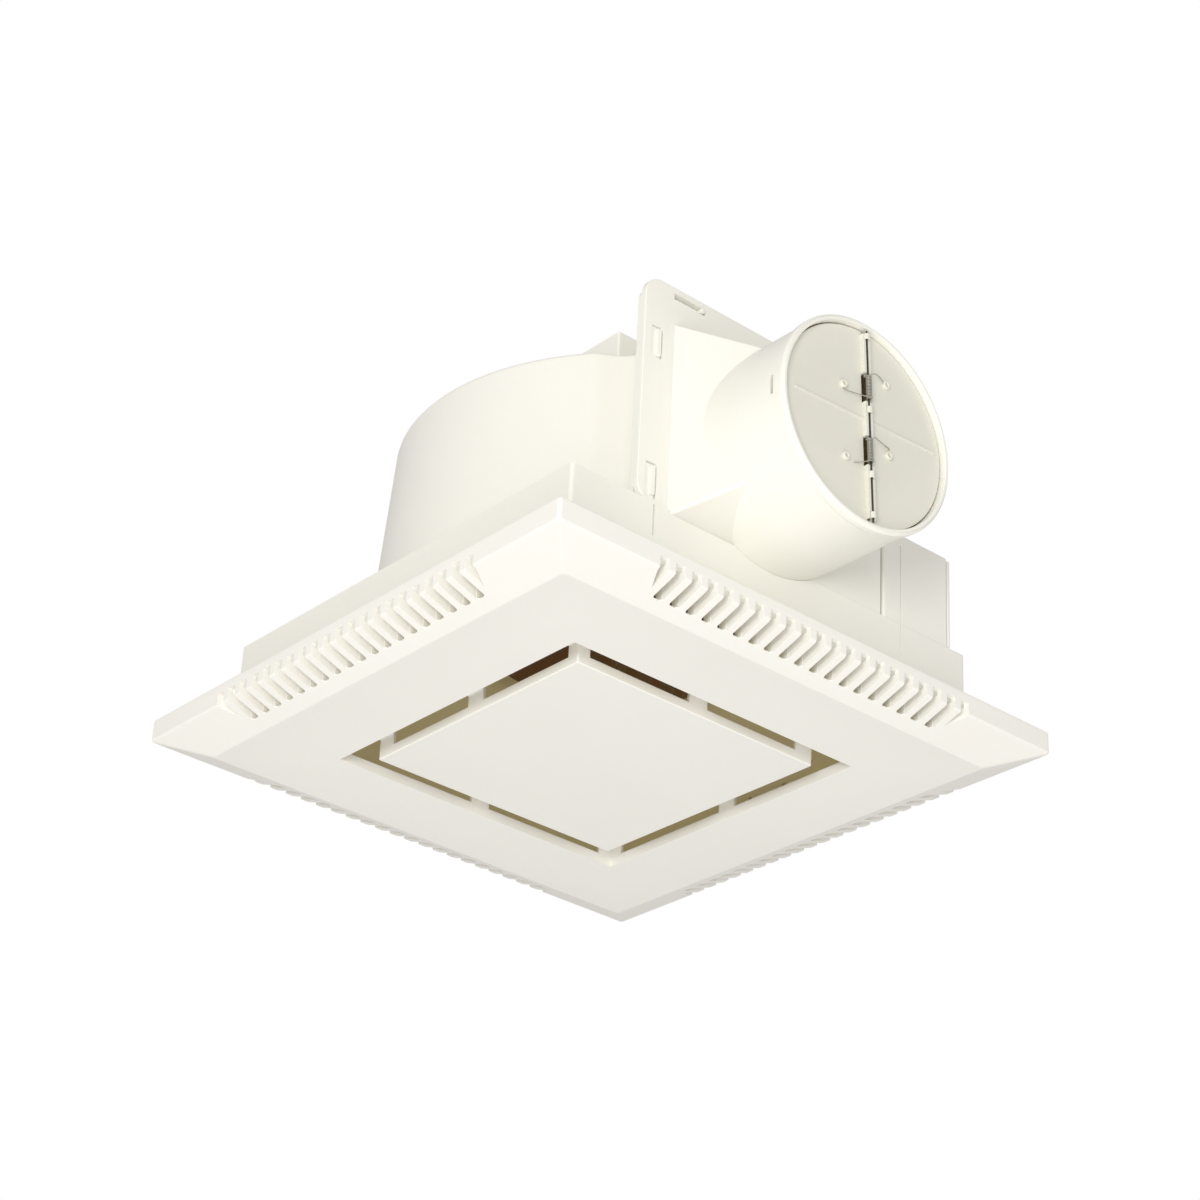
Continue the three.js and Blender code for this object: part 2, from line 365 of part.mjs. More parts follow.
// ---------- backdraft damper ----------
{
  const lean = T(OUT_X, 0, OUT_Z).multiply(new THREE.Matrix4().makeRotationY(LEAN)).multiply(T(-OUT_X, 0, -OUT_Z));
  put("housing", "damper_seal", ringY(OUT_X, OUT_Z, 47.4, 49.6, -178.3, -176.2, 40), "foam");
  put("housing", "damper_pin", cylZ(PIN_X, PIN_Y, PIN_R, OUT_Z - 49.2, OUT_Z + 49.2, 12), "dark", lean);
  const half = (s) => { // s = -1 left flap, +1 right flap
    const edge = 1.05, X = (u) => PIN_X + s * u;
    const b = (u0, u1, y0, y1, a, c) => box(Math.min(X(u0), X(u1)), Math.max(X(u0), X(u1)), y0, y1, a, c);
    let f = cylY(OUT_X, OUT_Z, FLAP_R, FLAP_OUT, FLAP_BACK, 44).intersect(b(edge, 60, -190, -170, 0, 200));
    // tall edge rib beside the pin, low rib across the middle
    f = f.add(cylY(OUT_X, OUT_Z, FLAP_R - 0.8, PIN_Y, FLAP_BACK, 44).intersect(b(edge, edge + 0.95, -190, -170, 0, 200)));
    f = f.add(b(edge + 0.5, 43, FLAP_OUT - 0.8, FLAP_BACK, OUT_Z + 2.4, OUT_Z + 4.2));
    // room for the springs
    f = f.subtract(b(-1, 2.9, -190, -170, 83.5, 99.4)).subtract(b(-1, 2.9, -190, -170, 115.9, 132));
    // barrels on the pin
    const mine = [[149, 151.8], [77.6, 80.8]], other = [[57.4, 60.4], [110.6, 113.8]];
    const spans = s < 0 ? mine : other;
    for (const [a, c] of spans)
      f = f.add(cylZ(PIN_X, PIN_Y, 1.8, a, c, 16).add(b(0, edge + 1.5, PIN_Y + 0.2, FLAP_BACK, a, c)));
    for (const [a, c] of s < 0 ? other : mine) f = f.subtract(b(-2.2, 2.3, -190, -170, a - 0.3, c + 0.3));
    for (const [a, c] of spans) f = f.subtract(cylZ(PIN_X, PIN_Y, PIN_R + 0.08, a - 1, c + 1, 12));
    // hollow bosses where the spring legs bear
    for (const [u, z] of s < 0 ? [[14, 121.2], [14, 84.4]] : [[13.35, 131.2], [13.35, 94.7]])
      f = f.add(ringY(X(u), z, 0.8, 2.1, FLAP_OUT - 1.5, FLAP_OUT + 0.6, 14));
    return f;
  };
  put("flap_left", "damper_flap_left", half(-1), "flap", lean);
  put("flap_right", "damper_flap_right", half(1), "flap", lean);
  const spring = (za, zb, left, right) => all(
    ringZ(PIN_X, PIN_Y, 1.3, 2.1, za, zb, 14),
    wire([[PIN_X - 0.6, PIN_Y - 1.6, left[0][1]], [PIN_X - 3, PIN_Y - 0.8, left[0][1]], ...left.slice(1).map(([x, z]) => [x, -181.3, z])], 0.4, 6, 6),
    wire([[PIN_X + 0.6, PIN_Y - 1.6, right[0][1]], [PIN_X + 3, PIN_Y - 0.8, right[0][1]], ...right.slice(1).map(([x, z]) => [x, -181.3, z])], 0.4, 6, 6));
  put("housing", "damper_spring_upper", spring(116.4, 131.4, [[0, 117.2], [-14, 117.8]], [[0, 130.8], [5.6, 132.4], [7.4, 131]]), "dark", lean);
  put("housing", "damper_spring_lower", spring(84.1, 98.9, [[0, 84.9], [-11, 83.3]], [[0, 98.2], [7, 98.6]]), "dark", lean);
}

// ---------- terminal box beside the spigot ----------
{
  let b = prismZ(rr(67.4, 111.2, -BOX, -80, 1.5, 2), BOX_TOP + 0.3, 107);
  b = b.subtract(box(69.4, 115, -BOX + 2, -82, BOX_TOP - 1, 105));
  b = b.subtract(box(78.5, 79.3, -124, -121.4, BOX_TOP - 1, 101));
  b = b.subtract(cylY(94, 84, 7.1, -90, -75, 18));
  b = b.subtract(cylY(82, 98, 3, -90, -75, 16));
  put("housing", "terminal_box", b, "cream");
  let lid = loft([{ p: [[-BOX + 0.4, 59.7], [-80.3, 59.7], [-80.3, 106.7], [-BOX + 0.4, 106.7]], w: 111.5 }, { p: [[-BOX + 0.4, 59.7], [-80.3, 59.7], [-80.3, 106.7], [-BOX + 0.4, 106.7]], w: 113.3 }], (u, v, w) => [w, u, v]);
  lid = lid.subtract(cylX(-101, 103.4, 1.8, 105, 120, 12));
  put("housing", "terminal_lid", lid, "cream");
  // screw along X into the box's roof edge
  put("housing", "terminal_lid_screw", lathe([[0, 107.5], [1.3, 107.5], [1.3, 113.6], [3, 113.6], [3, 114.6], [2, 115.4], [0, 115.4]], 10, T(0, -101, 103.4), TO_X), "steel");
  let tb = box(84, 104, -112, -99, BOX_TOP + 0.3, 72);
  for (const x of [88, 94, 100]) tb = tb.subtract(cylY(x, 65, 1.8, -114, -97, 8)).subtract(cylZ(x, -105.5, 1.6, 66, 74, 8));
  put("housing", "terminal_block", tb, "block");
  put("housing", "run_capacitor", prismZ(rr(76, 106, -117.5, -104.5, 3), 77, 99), "grey");
  put("housing", "cable_gland", lathe([[4.5, -86], [6.7, -86], [6.7, -79.7], [9.5, -79.7], [9.5, -76], [8.4, -75.5], [8.2, -70.5], [6.6, -68], [4.5, -68], [4.5, -86]], 18, T(94, 0, 84), TO_Y), "grey");
  const hx = [];
  for (let i = 0; i < 6; i++) hx.push([94 + 10.5 * Math.cos((i * Math.PI) / 3), 84 + 10.5 * Math.sin((i * Math.PI) / 3)]);
  put("housing", "gland_nut", cut(prismY(hx, -85.4, -82.3), cylY(94, 84, 7.1, -90, -75, 18)), "grey");
  put("housing", "motor_lead", wire([[82, -86, 98], [82, -80, 98], [82, -75.5, 99.5], [82, -72.6, 104], [82, -72, 112], [82, -72, 130], [82, -71, 146], [81, -69, 154], [77.6, -66.6, 158], [72, -64.6, 159], [64, -64, 159], [54, -64, 159]], 2.4, 20, 7), "foam");
}

export default group;
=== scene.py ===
import math
import bmesh
import bpy
from mathutils import Matrix, Vector


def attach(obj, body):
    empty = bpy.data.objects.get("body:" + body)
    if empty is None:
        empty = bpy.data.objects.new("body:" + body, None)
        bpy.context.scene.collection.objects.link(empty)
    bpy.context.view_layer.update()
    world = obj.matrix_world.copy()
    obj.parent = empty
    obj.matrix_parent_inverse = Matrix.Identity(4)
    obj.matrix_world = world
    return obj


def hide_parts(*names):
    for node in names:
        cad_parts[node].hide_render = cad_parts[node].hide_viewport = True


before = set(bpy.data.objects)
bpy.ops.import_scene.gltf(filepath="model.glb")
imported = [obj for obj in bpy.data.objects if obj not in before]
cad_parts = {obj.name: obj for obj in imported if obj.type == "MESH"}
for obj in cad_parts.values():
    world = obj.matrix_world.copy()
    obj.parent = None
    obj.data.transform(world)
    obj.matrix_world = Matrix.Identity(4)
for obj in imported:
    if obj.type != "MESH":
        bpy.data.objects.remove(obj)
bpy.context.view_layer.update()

MM = 0.001
scene = bpy.context.scene

# ------------------------------------------------------------------ camera
AZ, EL, ROLL = math.radians(-39.644), math.radians(-28.8), math.radians(3.128)
back = Vector((math.sin(AZ) * math.cos(EL), -math.cos(AZ) * math.cos(EL), math.sin(EL)))
fwd = -back
right0 = fwd.cross(Vector((0, 0, 1))).normalized()
up0 = right0.cross(fwd)
right = math.cos(ROLL) * right0 + math.sin(ROLL) * up0
up = -math.sin(ROLL) * right0 + math.cos(ROLL) * up0
cam_data = bpy.data.cameras.new("camera")
cam = bpy.data.objects.new("camera", cam_data)
scene.collection.objects.link(cam)
cam.matrix_world = Matrix((
    (right.x, up.x, back.x, -0.77944),
    (right.y, up.y, back.y, -0.93875),
    (right.z, up.z, back.z, -0.58350),
    (0, 0, 0, 1)))
cam_data.sensor_width = 36
cam_data.lens = 2882.76 / 1200 * 36
cam_data.clip_start = 0.01
cam_data.clip_end = 50
scene.camera = cam

# ------------------------------------------------------------------ geometry helpers, in millimetres
AX, AY = 5.0, -5.0          # fan axis
OX, OZ = -5.0, 104.5        # spigot axis
PIN = -182.2                # damper pin's Y
PINX = -3.2                 # and its X, before the damper's lean
LEAN = math.radians(-2.75)  # the damper sits turned by this much about the spigot's axis


class Geo:
    """Vertices and faces of one piece, in millimetres."""

    def __init__(self, parts=()):
        self.v, self.f = [], []
        for p in parts:
            self.add(p)

    def add(self, part):
        v, f = (part.v, part.f) if isinstance(part, Geo) else part
        n = len(self.v)
        self.v += [tuple(p) for p in v]
        self.f += [[i + n for i in q] for q in f]
        return self


def loft(levels, caps=True, loop=False):
    n, m = len(levels[0]), len(levels)
    v = [p for lv in levels for p in lv]
    f = []
    for k in range(m if loop else m - 1):
        for i in range(n):
            j, kk = (i + 1) % n, (k + 1) % m
            f.append([k * n + i, k * n + j, kk * n + j, kk * n + i])
    if caps and not loop:
        f.append(list(range(n))[::-1])
        f.append([(m - 1) * n + i for i in range(n)])
    return v, f


def box(x0, x1, y0, y1, z0, z1):
    p = [(x0, y0), (x1, y0), (x1, y1), (x0, y1)]
    return loft([[(x, y, z0) for x, y in p], [(x, y, z1) for x, y in p]])


def rr(x0, x1, y0, y1, r, n=6):
    out = []
    for cx, cy, q in ((x1 - r, y1 - r, 0), (x0 + r, y1 - r, 1), (x0 + r, y0 + r, 2), (x1 - r, y0 + r, 3)):
        for i in range(n + 1):
            a = (q + i / n) * math.pi / 2
            out.append((cx + r * math.cos(a), cy + r * math.sin(a)))
    return out


Z_UP = lambda u, v, w: (u, v, w)
ALONG_Y = lambda u, v, w: (u, w, v)      # outline in X and Z, height along Y
ALONG_X = lambda u, v, w: (w, u, v)      # outline in Y and Z, height along X


def slab(x0, x1, y0, y1, z0, z1, rc=1.0, rb=0.5, n=6, steps=3, at=Z_UP, low=True, high=True):
    """Rounded-corner plate with rounded edges of radius rb on its low and high face."""
    lv = []

    def ring(inset, z):
        lv.append([at(u, v, z) for u, v in rr(x0 + inset, x1 - inset, y0 + inset, y1 - inset, max(rc - inset, 0.05), n)])
    if low:
        for i in range(steps + 1):
            a = i / steps * math.pi / 2
            ring(rb * (1 - math.sin(a)), z0 + rb * (1 - math.cos(a)))
    else:
        ring(0, z0)
    if high:
        for i in range(steps + 1):
            a = i / steps * math.pi / 2
            ring(rb * (1 - math.cos(a)), z1 - rb * (1 - math.sin(a)))
    else:
        ring(0, z1)
    return loft(lv)


def lathe(profile, n=96, c=(0, 0, 0), axis="Z", loop=True):
    """profile of (radius, height), turned about the axis; loop closes it, otherwise its ends lie on the axis."""
    rings = []
    for r, h in profile:
        ring = []
        for i in range(n):
            a = i / n * 2 * math.pi
            x, y = r * math.cos(a), r * math.sin(a)
            if axis == "Z":
                ring.append((c[0] + x, c[1] + y, c[2] + h))
            elif axis == "Y":
                ring.append((c[0] + x, c[1] + h, c[2] - y))
            else:
                ring.append((c[0] + h, c[1] + x, c[2] + y))
        rings.append(ring)
    return loft(rings, caps=not loop, loop=loop)


def cyl(r, h0, h1, n=48, c=(0, 0, 0), axis="Z", rb=0.0):
    if rb:
        prof = []
        for i in range(4):
            a = i / 3 * math.pi / 2
            prof.append((r - rb * (1 - math.sin(a)), h0 + rb * (1 - math.cos(a))))
        for i in range(4):
            a = i / 3 * math.pi / 2
            prof.append((r - rb * (1 - math.cos(a)), h1 - rb * (1 - math.sin(a))))
        return lathe(prof, n, c, axis, loop=False)
    return lathe([(r, h0), (r, h1)], n, c, axis, loop=False)


def smooth_path(pts, per=8):
    """Centripetal-like Catmull-Rom through pts."""
    P = [Vector(p) for p in pts]
    P = [2 * P[0] - P[1]] + P + [2 * P[-1] - P[-2]]
    out = []
    for i in range(1, len(P) - 2):
        p0, p1, p2, p3 = P[i - 1], P[i], P[i + 1], P[i + 2]
        for k in range(per):
            t = k / per
            out.append(0.5 * ((2 * p1) + (-p0 + p2) * t + (2 * p0 - 5 * p1 + 4 * p2 - p3) * t * t + (-p0 + 3 * p1 - 3 * p2 + p3) * t ** 3))
    out.append(P[-2])
    return out


def sweep(path, r, sides=10, round_ends=True):
    P = [Vector(p) for p in path]
    n = len(P)
    T = [(P[min(i + 1, n - 1)] - P[max(i - 1, 0)]).normalized() for i in range(n)]
    ref = Vector((0, 0, 1)) if abs(T[0].z) < 0.9 else Vector((1, 0, 0))
    N = (ref - T[0] * ref.dot(T[0])).normalized()
    rings = []

    def ring(c, t, nrm, rad):
        b = t.cross(nrm)
        return [tuple(c + rad * (math.cos(a) * nrm + math.sin(a) * b)) for a in (i / sides * 2 * math.pi for i in range(sides))]
    frames = []
    for i in range(n):
        if i:
            N = (N - T[i] * N.dot(T[i])).normalized()
        frames.append(N.copy())
    if round_ends:
        for a in (20, 50, 75):
            s = math.radians(a)
            rings.append(ring(P[0] - T[0] * r * math.cos(s), T[0], frames[0], r * math.sin(s)))
    for i in range(n):
        rings.append(ring(P[i], T[i], frames[i], r))
    if round_ends:
        for a in (75, 50, 20):
            s = math.radians(a)
            rings.append(ring(P[-1] + T[-1] * r * math.cos(s), T[-1], frames[-1], r * math.sin(s)))
    return loft(rings)


def leaned(x, y, z):
    dx, dz = x - OX, z - OZ
    return OX + dx * math.cos(LEAN) + dz * math.sin(LEAN), y, OZ - dx * math.sin(LEAN) + dz * math.cos(LEAN)


def lean(o):
    for v in o.data.vertices:
        x, y, z = v.co / MM
        v.co = Vector(leaned(x, y, z)) * MM
    return o


def make(name, geo, merge=1e-6):
    g = geo if isinstance(geo, Geo) else Geo([geo])
    me = bpy.data.meshes.new(name)
    me.from_pydata([(x * MM, y * MM, z * MM) for x, y, z in g.v], [], g.f)
    bm = bmesh.new()
    bm.from_mesh(me)
    bmesh.ops.remove_doubles(bm, verts=bm.verts, dist=merge)
    bmesh.ops.dissolve_degenerate(bm, edges=bm.edges, dist=1e-7)
    bmesh.ops.recalc_face_normals(bm, faces=bm.faces)
    bm.to_mesh(me)
    bm.free()
    o = bpy.data.objects.new(name, me)
    scene.collection.objects.link(o)
    return o


def bake(o):
    bpy.context.view_layer.update()
    dg = bpy.context.evaluated_depsgraph_get()
    me = bpy.data.meshes.new_from_object(o.evaluated_get(dg))
    o.modifiers.clear()
    old = o.data
    o.data = me
    bpy.data.meshes.remove(old)
    return o


def boolean(o, geo, op="DIFFERENCE", self_hit=False):
    c = make("cutter", geo)
    m = o.modifiers.new("b", "BOOLEAN")
    m.operation, m.object, m.solver = op, c, "EXACT"
    m.use_self = self_hit
    bake(o)
    old = c.data
    bpy.data.objects.remove(c)
    bpy.data.meshes.remove(old)
    return o


def tidy(o, angle=0.3):
    """Joins faces that lie in one plane, and drops doubled points that a cut leaves."""
    bm = bmesh.new()
    bm.from_mesh(o.data)
    bmesh.ops.remove_doubles(bm, verts=bm.verts, dist=2e-6)
    bmesh.ops.dissolve_limit(bm, angle_limit=math.radians(angle), verts=bm.verts, edges=bm.edges, delimit={"MATERIAL"})
    bmesh.ops.dissolve_degenerate(bm, edges=bm.edges, dist=2e-6)
    bm.to_mesh(o.data)
    bm.free()
    return o


def dress(o, body, mat, replaces=(), bevel=0.0, segs=2, angle=35, weighted=True, sharp=38):
    if not o.data.materials:
        o.data.materials.append(mat)
    for p in o.data.polygons:
        p.use_smooth = True
    if bevel:
        m = o.modifiers.new("edge", "BEVEL")
        m.width, m.segments, m.limit_method = bevel * MM, segs, "ANGLE"
        m.angle_limit = math.radians(angle)
        m.use_clamp_overlap = True
        m.profile = 0.6
    if weighted:
        if not bevel:
            bm = bmesh.new()
            bm.from_mesh(o.data)
            for e in bm.edges:
                if len(e.link_faces) == 2 and e.calc_face_angle(0) > math.radians(sharp):
                    e.smooth = False
            bm.to_mesh(o.data)
            bm.free()
        w = o.modifiers.new("shade", "WEIGHTED_NORMAL")
        w.keep_sharp, w.weight = True, 60
    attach(o, body)
    if replaces:
        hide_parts(*replaces)
    return o


# ------------------------------------------------------------------ materials
class Nodes:
    def __init__(self, name):
        self.m = bpy.data.materials.new(name)
        self.m.use_nodes = True
        self.t = self.m.node_tree
        self.t.nodes.clear()
        self.out = self.t.nodes.new("ShaderNodeOutputMaterial")
        self.p = self.t.nodes.new("ShaderNodeBsdfPrincipled")
        self.t.links.new(self.p.outputs[0], self.out.inputs[0])

    def n(self, kind, **kw):
        x = self.t.nodes.new(kind)
        for k, v in kw.items():
            if k.startswith("i_"):
                x.inputs[k[2:].replace("_", " ")].default_value = v
            else:
                setattr(x, k, v)
        return x

    def link(self, a, b):
        self.t.links.new(a, b)

    def set(self, **kw):
        for k, v in kw.items():
            self.p.inputs[k.replace("_", " ")].default_value = v


def ramp(N, src, stops):
    r = N.n("ShaderNodeValToRGB")
    N.link(src, r.inputs[0])
    e = r.color_ramp.elements
    while len(e) < len(stops):
        e.new(0.5)
    for k, (pos, col) in enumerate(stops):
        e[k].position = pos
        e[k].color = (*col, 1) if len(col) == 3 else col
    return r


def coords(N, scale=(1, 1, 1)):
    tc = N.n("ShaderNodeTexCoord")
    mp = N.n("ShaderNodeMapping")
    mp.inputs["Scale"].default_value = scale
    N.link(tc.outputs["Object"], mp.inputs[0])
    return mp.outputs[0]


def plastic(name, base, dark, rough=0.36, grain=900, bump=0.012, sss=0.06, edge=0.25, coat=0.12, rough_var=0.08, painted_glow=None):
    """Moulded plastic: faint cloudy colour, fine spark texture in the surface, a painted highlight that makes sharp
    edges paler, and an optional glow that is painted light.
    """
    N = Nodes(name)
    c = coords(N)
    cloud = N.n("ShaderNodeTexNoise", i_Scale=9.0, i_Detail=4.0, i_Roughness=0.6)
    N.link(c, cloud.inputs["Vector"])
    col = ramp(N, cloud.outputs["Fac"], [(0.3, dark), (0.7, base)])
    # painted highlight: pointiness lightens the colour on sharp edges, standing in for the light that rounded edges
    # catch
    geo = N.n("ShaderNodeNewGeometry")
    edge_highlight_ramp = ramp(N, geo.outputs["Pointiness"], [(0.5, (0, 0, 0)), (0.6, (1, 1, 1))])
    mul = N.n("ShaderNodeMath", operation="MULTIPLY")
    N.link(edge_highlight_ramp.outputs[0], mul.inputs[0])
    mul.inputs[1].default_value = edge
    mix = N.n("ShaderNodeMix", data_type="RGBA")
    N.link(mul.outputs[0], mix.inputs[0])
    N.link(col.outputs[0], mix.inputs[6])
    mix.inputs[7].default_value = (*[min(1, x * 1.06 + 0.02) for x in base], 1)
    N.link(mix.outputs[2], N.p.inputs["Base Color"])
    fine = N.n("ShaderNodeTexNoise", i_Scale=float(grain), i_Detail=3.0, i_Roughness=0.55)
    N.link(c, fine.inputs["Vector"])
    wave = N.n("ShaderNodeTexNoise", i_Scale=26.0, i_Detail=2.0)
    N.link(c, wave.inputs["Vector"])
    b1 = N.n("ShaderNodeBump", i_Strength=0.12, i_Distance=bump * 0.05)
    N.link(wave.outputs["Fac"], b1.inputs["Height"])
    b2 = N.n("ShaderNodeBump", i_Strength=0.25, i_Distance=bump * 0.01)
    N.link(fine.outputs["Fac"], b2.inputs["Height"])
    N.link(b1.outputs[0], b2.inputs["Normal"])
    N.link(b2.outputs[0], N.p.inputs["Normal"])
    rr_ = N.n("ShaderNodeMapRange")
    N.link(wave.outputs["Fac"], rr_.inputs[0])
    rr_.inputs[1].default_value, rr_.inputs[2].default_value = 0.3, 0.7
    rr_.inputs[3].default_value, rr_.inputs[4].default_value = rough - rough_var, rough + rough_var
    N.link(rr_.outputs[0], N.p.inputs["Roughness"])
    N.set(Subsurface_Weight=sss, Coat_Weight=coat, Coat_Roughness=0.25, IOR=1.49)
    N.p.inputs["Subsurface Radius"].default_value = (0.004, 0.003, 0.002)
    N.p.inputs["Subsurface Scale"].default_value = 0.6
    if painted_glow:
        # painted light: a faint glow that lifts surfaces inside the closed housing, standing in for light the lamps
        # don't bring there
        N.p.inputs["Emission Color"].default_value = (*painted_glow, 1)
        N.p.inputs["Emission Strength"].default_value = 1.0
    return N.m


def metal(name, base, rough=0.32, lines=(1, 1, 60), scale=140, var=0.15, metallic=1.0):
    """Drawn or turned metal: stretched noise in colour, roughness and bump."""
    N = Nodes(name)
    c = coords(N, lines)
    n1 = N.n("ShaderNodeTexNoise", i_Scale=float(scale), i_Detail=6.0, i_Roughness=0.65)
    N.link(c, n1.inputs["Vector"])
    col = ramp(N, n1.outputs["Fac"], [(0.25, [x * (1 - var) for x in base]), (0.75, [min(1, x * (1 + var)) for x in base])])
    N.link(col.outputs[0], N.p.inputs["Base Color"])
    mr = N.n("ShaderNodeMapRange")
    N.link(n1.outputs["Fac"], mr.inputs[0])
    mr.inputs[3].default_value, mr.inputs[4].default_value = rough * 0.7, min(1, rough * 1.4)
    N.link(mr.outputs[0], N.p.inputs["Roughness"])
    b = N.n("ShaderNodeBump", i_Strength=0.2, i_Distance=0.0001)
    N.link(n1.outputs["Fac"], b.inputs["Height"])
    N.link(b.outputs[0], N.p.inputs["Normal"])
    N.set(Metallic=metallic)
    return N.m


def foam(name, base):
    N = Nodes(name)
    c = coords(N)
    v = N.n("ShaderNodeTexVoronoi", i_Scale=1400.0)
    N.link(c, v.inputs["Vector"])
    col = ramp(N, v.outputs["Distance"], [(0.0, [x * 0.5 for x in base]), (0.7, [min(1, x * 1.5) for x in base])])
    N.link(col.outputs[0], N.p.inputs["Base Color"])
    b = N.n("ShaderNodeBump", i_Strength=0.6, i_Distance=0.0003)
    N.link(v.outputs["Distance"], b.inputs["Height"])
    N.link(b.outputs[0], N.p.inputs["Normal"])
    N.set(Roughness=0.9)
    return N.m


def laminated(name, base):
    """Stack of thin sheets: fine bands along Z."""
    N = Nodes(name)
    c = coords(N)
    w = N.n("ShaderNodeTexWave", i_Scale=320.0, i_Distortion=0.15, wave_type="BANDS", bands_direction="Z")
    N.link(c, w.inputs["Vector"])
    col = ramp(N, w.outputs["Fac"], [(0.2, [x * 0.55 for x in base]), (0.8, base)])
    N.link(col.outputs[0], N.p.inputs["Base Color"])
    b = N.n("ShaderNodeBump", i_Strength=0.5, i_Distance=0.0002)
    N.link(w.outputs["Fac"], b.inputs["Height"])
    N.link(b.outputs[0], N.p.inputs["Normal"])
    N.set(Metallic=0.8, Roughness=0.5)
    return N.m


def windings(name, base):
    """Varnished copper turns running round the fan axis."""
    N = Nodes(name)
    c = coords(N)
    mp = N.n("ShaderNodeMapping")
    mp.inputs["Location"].default_value = (-AX * MM, -AY * MM, 0)
    N.link(c, mp.inputs[0])
    w = N.n("ShaderNodeTexWave", i_Scale=260.0, i_Distortion=1.2, wave_type="RINGS", rings_direction="Z")
    N.link(mp.outputs[0], w.inputs["Vector"])
    col = ramp(N, w.outputs["Fac"], [(0.15, [x * 0.35 for x in base]), (0.8, base)])
    N.link(col.outputs[0], N.p.inputs["Base Color"])
    b = N.n("ShaderNodeBump", i_Strength=0.7, i_Distance=0.0004)
    N.link(w.outputs["Fac"], b.inputs["Height"])
    N.link(b.outputs[0], N.p.inputs["Normal"])
    N.set(Metallic=0.55, Roughness=0.35, Coat_Weight=0.4)
    return N.m


# edge sets how strong each material's painted edge highlight is
CREAM = plastic("cream_abs", (0.925, 0.915, 0.850), (0.910, 0.897, 0.826), rough=0.36)
GRILLE = plastic("cream_grille_abs", (0.920, 0.905, 0.855), (0.905, 0.888, 0.835), rough=0.40)
FLAPM = plastic("flap_plastic", (0.80, 0.785, 0.70), (0.77, 0.755, 0.67), rough=0.45, edge=0.5)
# painted shade: the inside of the cream housing gets a darker khaki copy of the cream, standing in for the shade in the
# closed box; its glow is painted light
INNER_SHADE_AND_GLOW = plastic("inner_cream_shade_and_glow", (0.50, 0.46, 0.33), (0.45, 0.41, 0.29), rough=0.55, coat=0.0, painted_glow=(0.125, 0.105, 0.055))
# the brown is the wheel's own colour; its glow is painted light that lifts the wheel seen through the slots
WHEEL = plastic("brown_wheel", (0.105, 0.050, 0.020), (0.070, 0.033, 0.013), rough=0.42, sss=0.0, edge=0.6, painted_glow=(0.050, 0.026, 0.010))
STEEL = metal("zinc_steel", (0.62, 0.61, 0.58), rough=0.3, lines=(1, 1, 1), scale=700)
WIRE = metal("spring_wire", (0.56, 0.55, 0.52), rough=0.28, lines=(1, 1, 1), scale=900)
COILM = metal("spring_steel_wire", (0.44, 0.42, 0.37), rough=0.36, lines=(1, 1, 1), scale=1500, var=0.3, metallic=0.55)
DARK = metal("blackened_wire", (0.075, 0.068, 0.055), rough=0.38, lines=(1, 1, 1), scale=1200, var=0.5, metallic=0.6)
GROUND = metal("ground_steel", (0.66, 0.66, 0.66), rough=0.18, lines=(1, 1, 12), scale=260)
SHELLM = metal("pressed_shell", (0.42, 0.43, 0.44), rough=0.4, lines=(1, 1, 4), scale=300, metallic=0.7)
LAMIN = laminated("laminations", (0.36, 0.36, 0.37))
COPPER = windings("copper_windings", (0.60, 0.24, 0.08))
FOAM = foam("black_foam", (0.035, 0.035, 0.035))
SEALM = foam("pale_foam", (0.55, 0.54, 0.46))
NYLON = plastic("grey_nylon", (0.075, 0.078, 0.082), (0.055, 0.058, 0.062), rough=0.5, sss=0.0)
CASE = plastic("capacitor_case", (0.06, 0.065, 0.07), (0.045, 0.05, 0.055), rough=0.35, sss=0.0)
POLY = plastic("terminal_polyamide", (0.80, 0.78, 0.68), (0.74, 0.72, 0.62), rough=0.5)
SHEATH = plastic("lead_pvc", (0.018, 0.018, 0.018), (0.012, 0.012, 0.012), rough=0.45, sss=0.0)

# ------------------------------------------------------------------ intake grille
PITCH, SLOT_W = 9.2, 5.3


def square(h, z, r, n=6):
    return [(x, y, z) for x, y in rr(-h, h, -h, h, r, n)]


def side_box(s, u0, u1, v0, v1, z0, z1):
    """Box on one of the four sides: u along the side, v outwards, side 0 faces -Y, 1 +X, 2 +Y, 3 -X."""
    c, n = math.cos(s * math.pi / 2), math.sin(s * math.pi / 2)
    v, f = box(u0, u1, -v1, -v0, z0, z1)
    return [(round(c, 6) * x - round(n, 6) * y, round(n, 6) * x + round(c, 6) * y, z) for x, y, z in v], f


def turned(s, part):
    c, n = round(math.cos(s * math.pi / 2), 6), round(math.sin(s * math.pi / 2), 6)
    v, f = (part.v, part.f) if isinstance(part, Geo) else part
    return [(c * x - n * y, n * x + c * y, z) for x, y, z in v], f


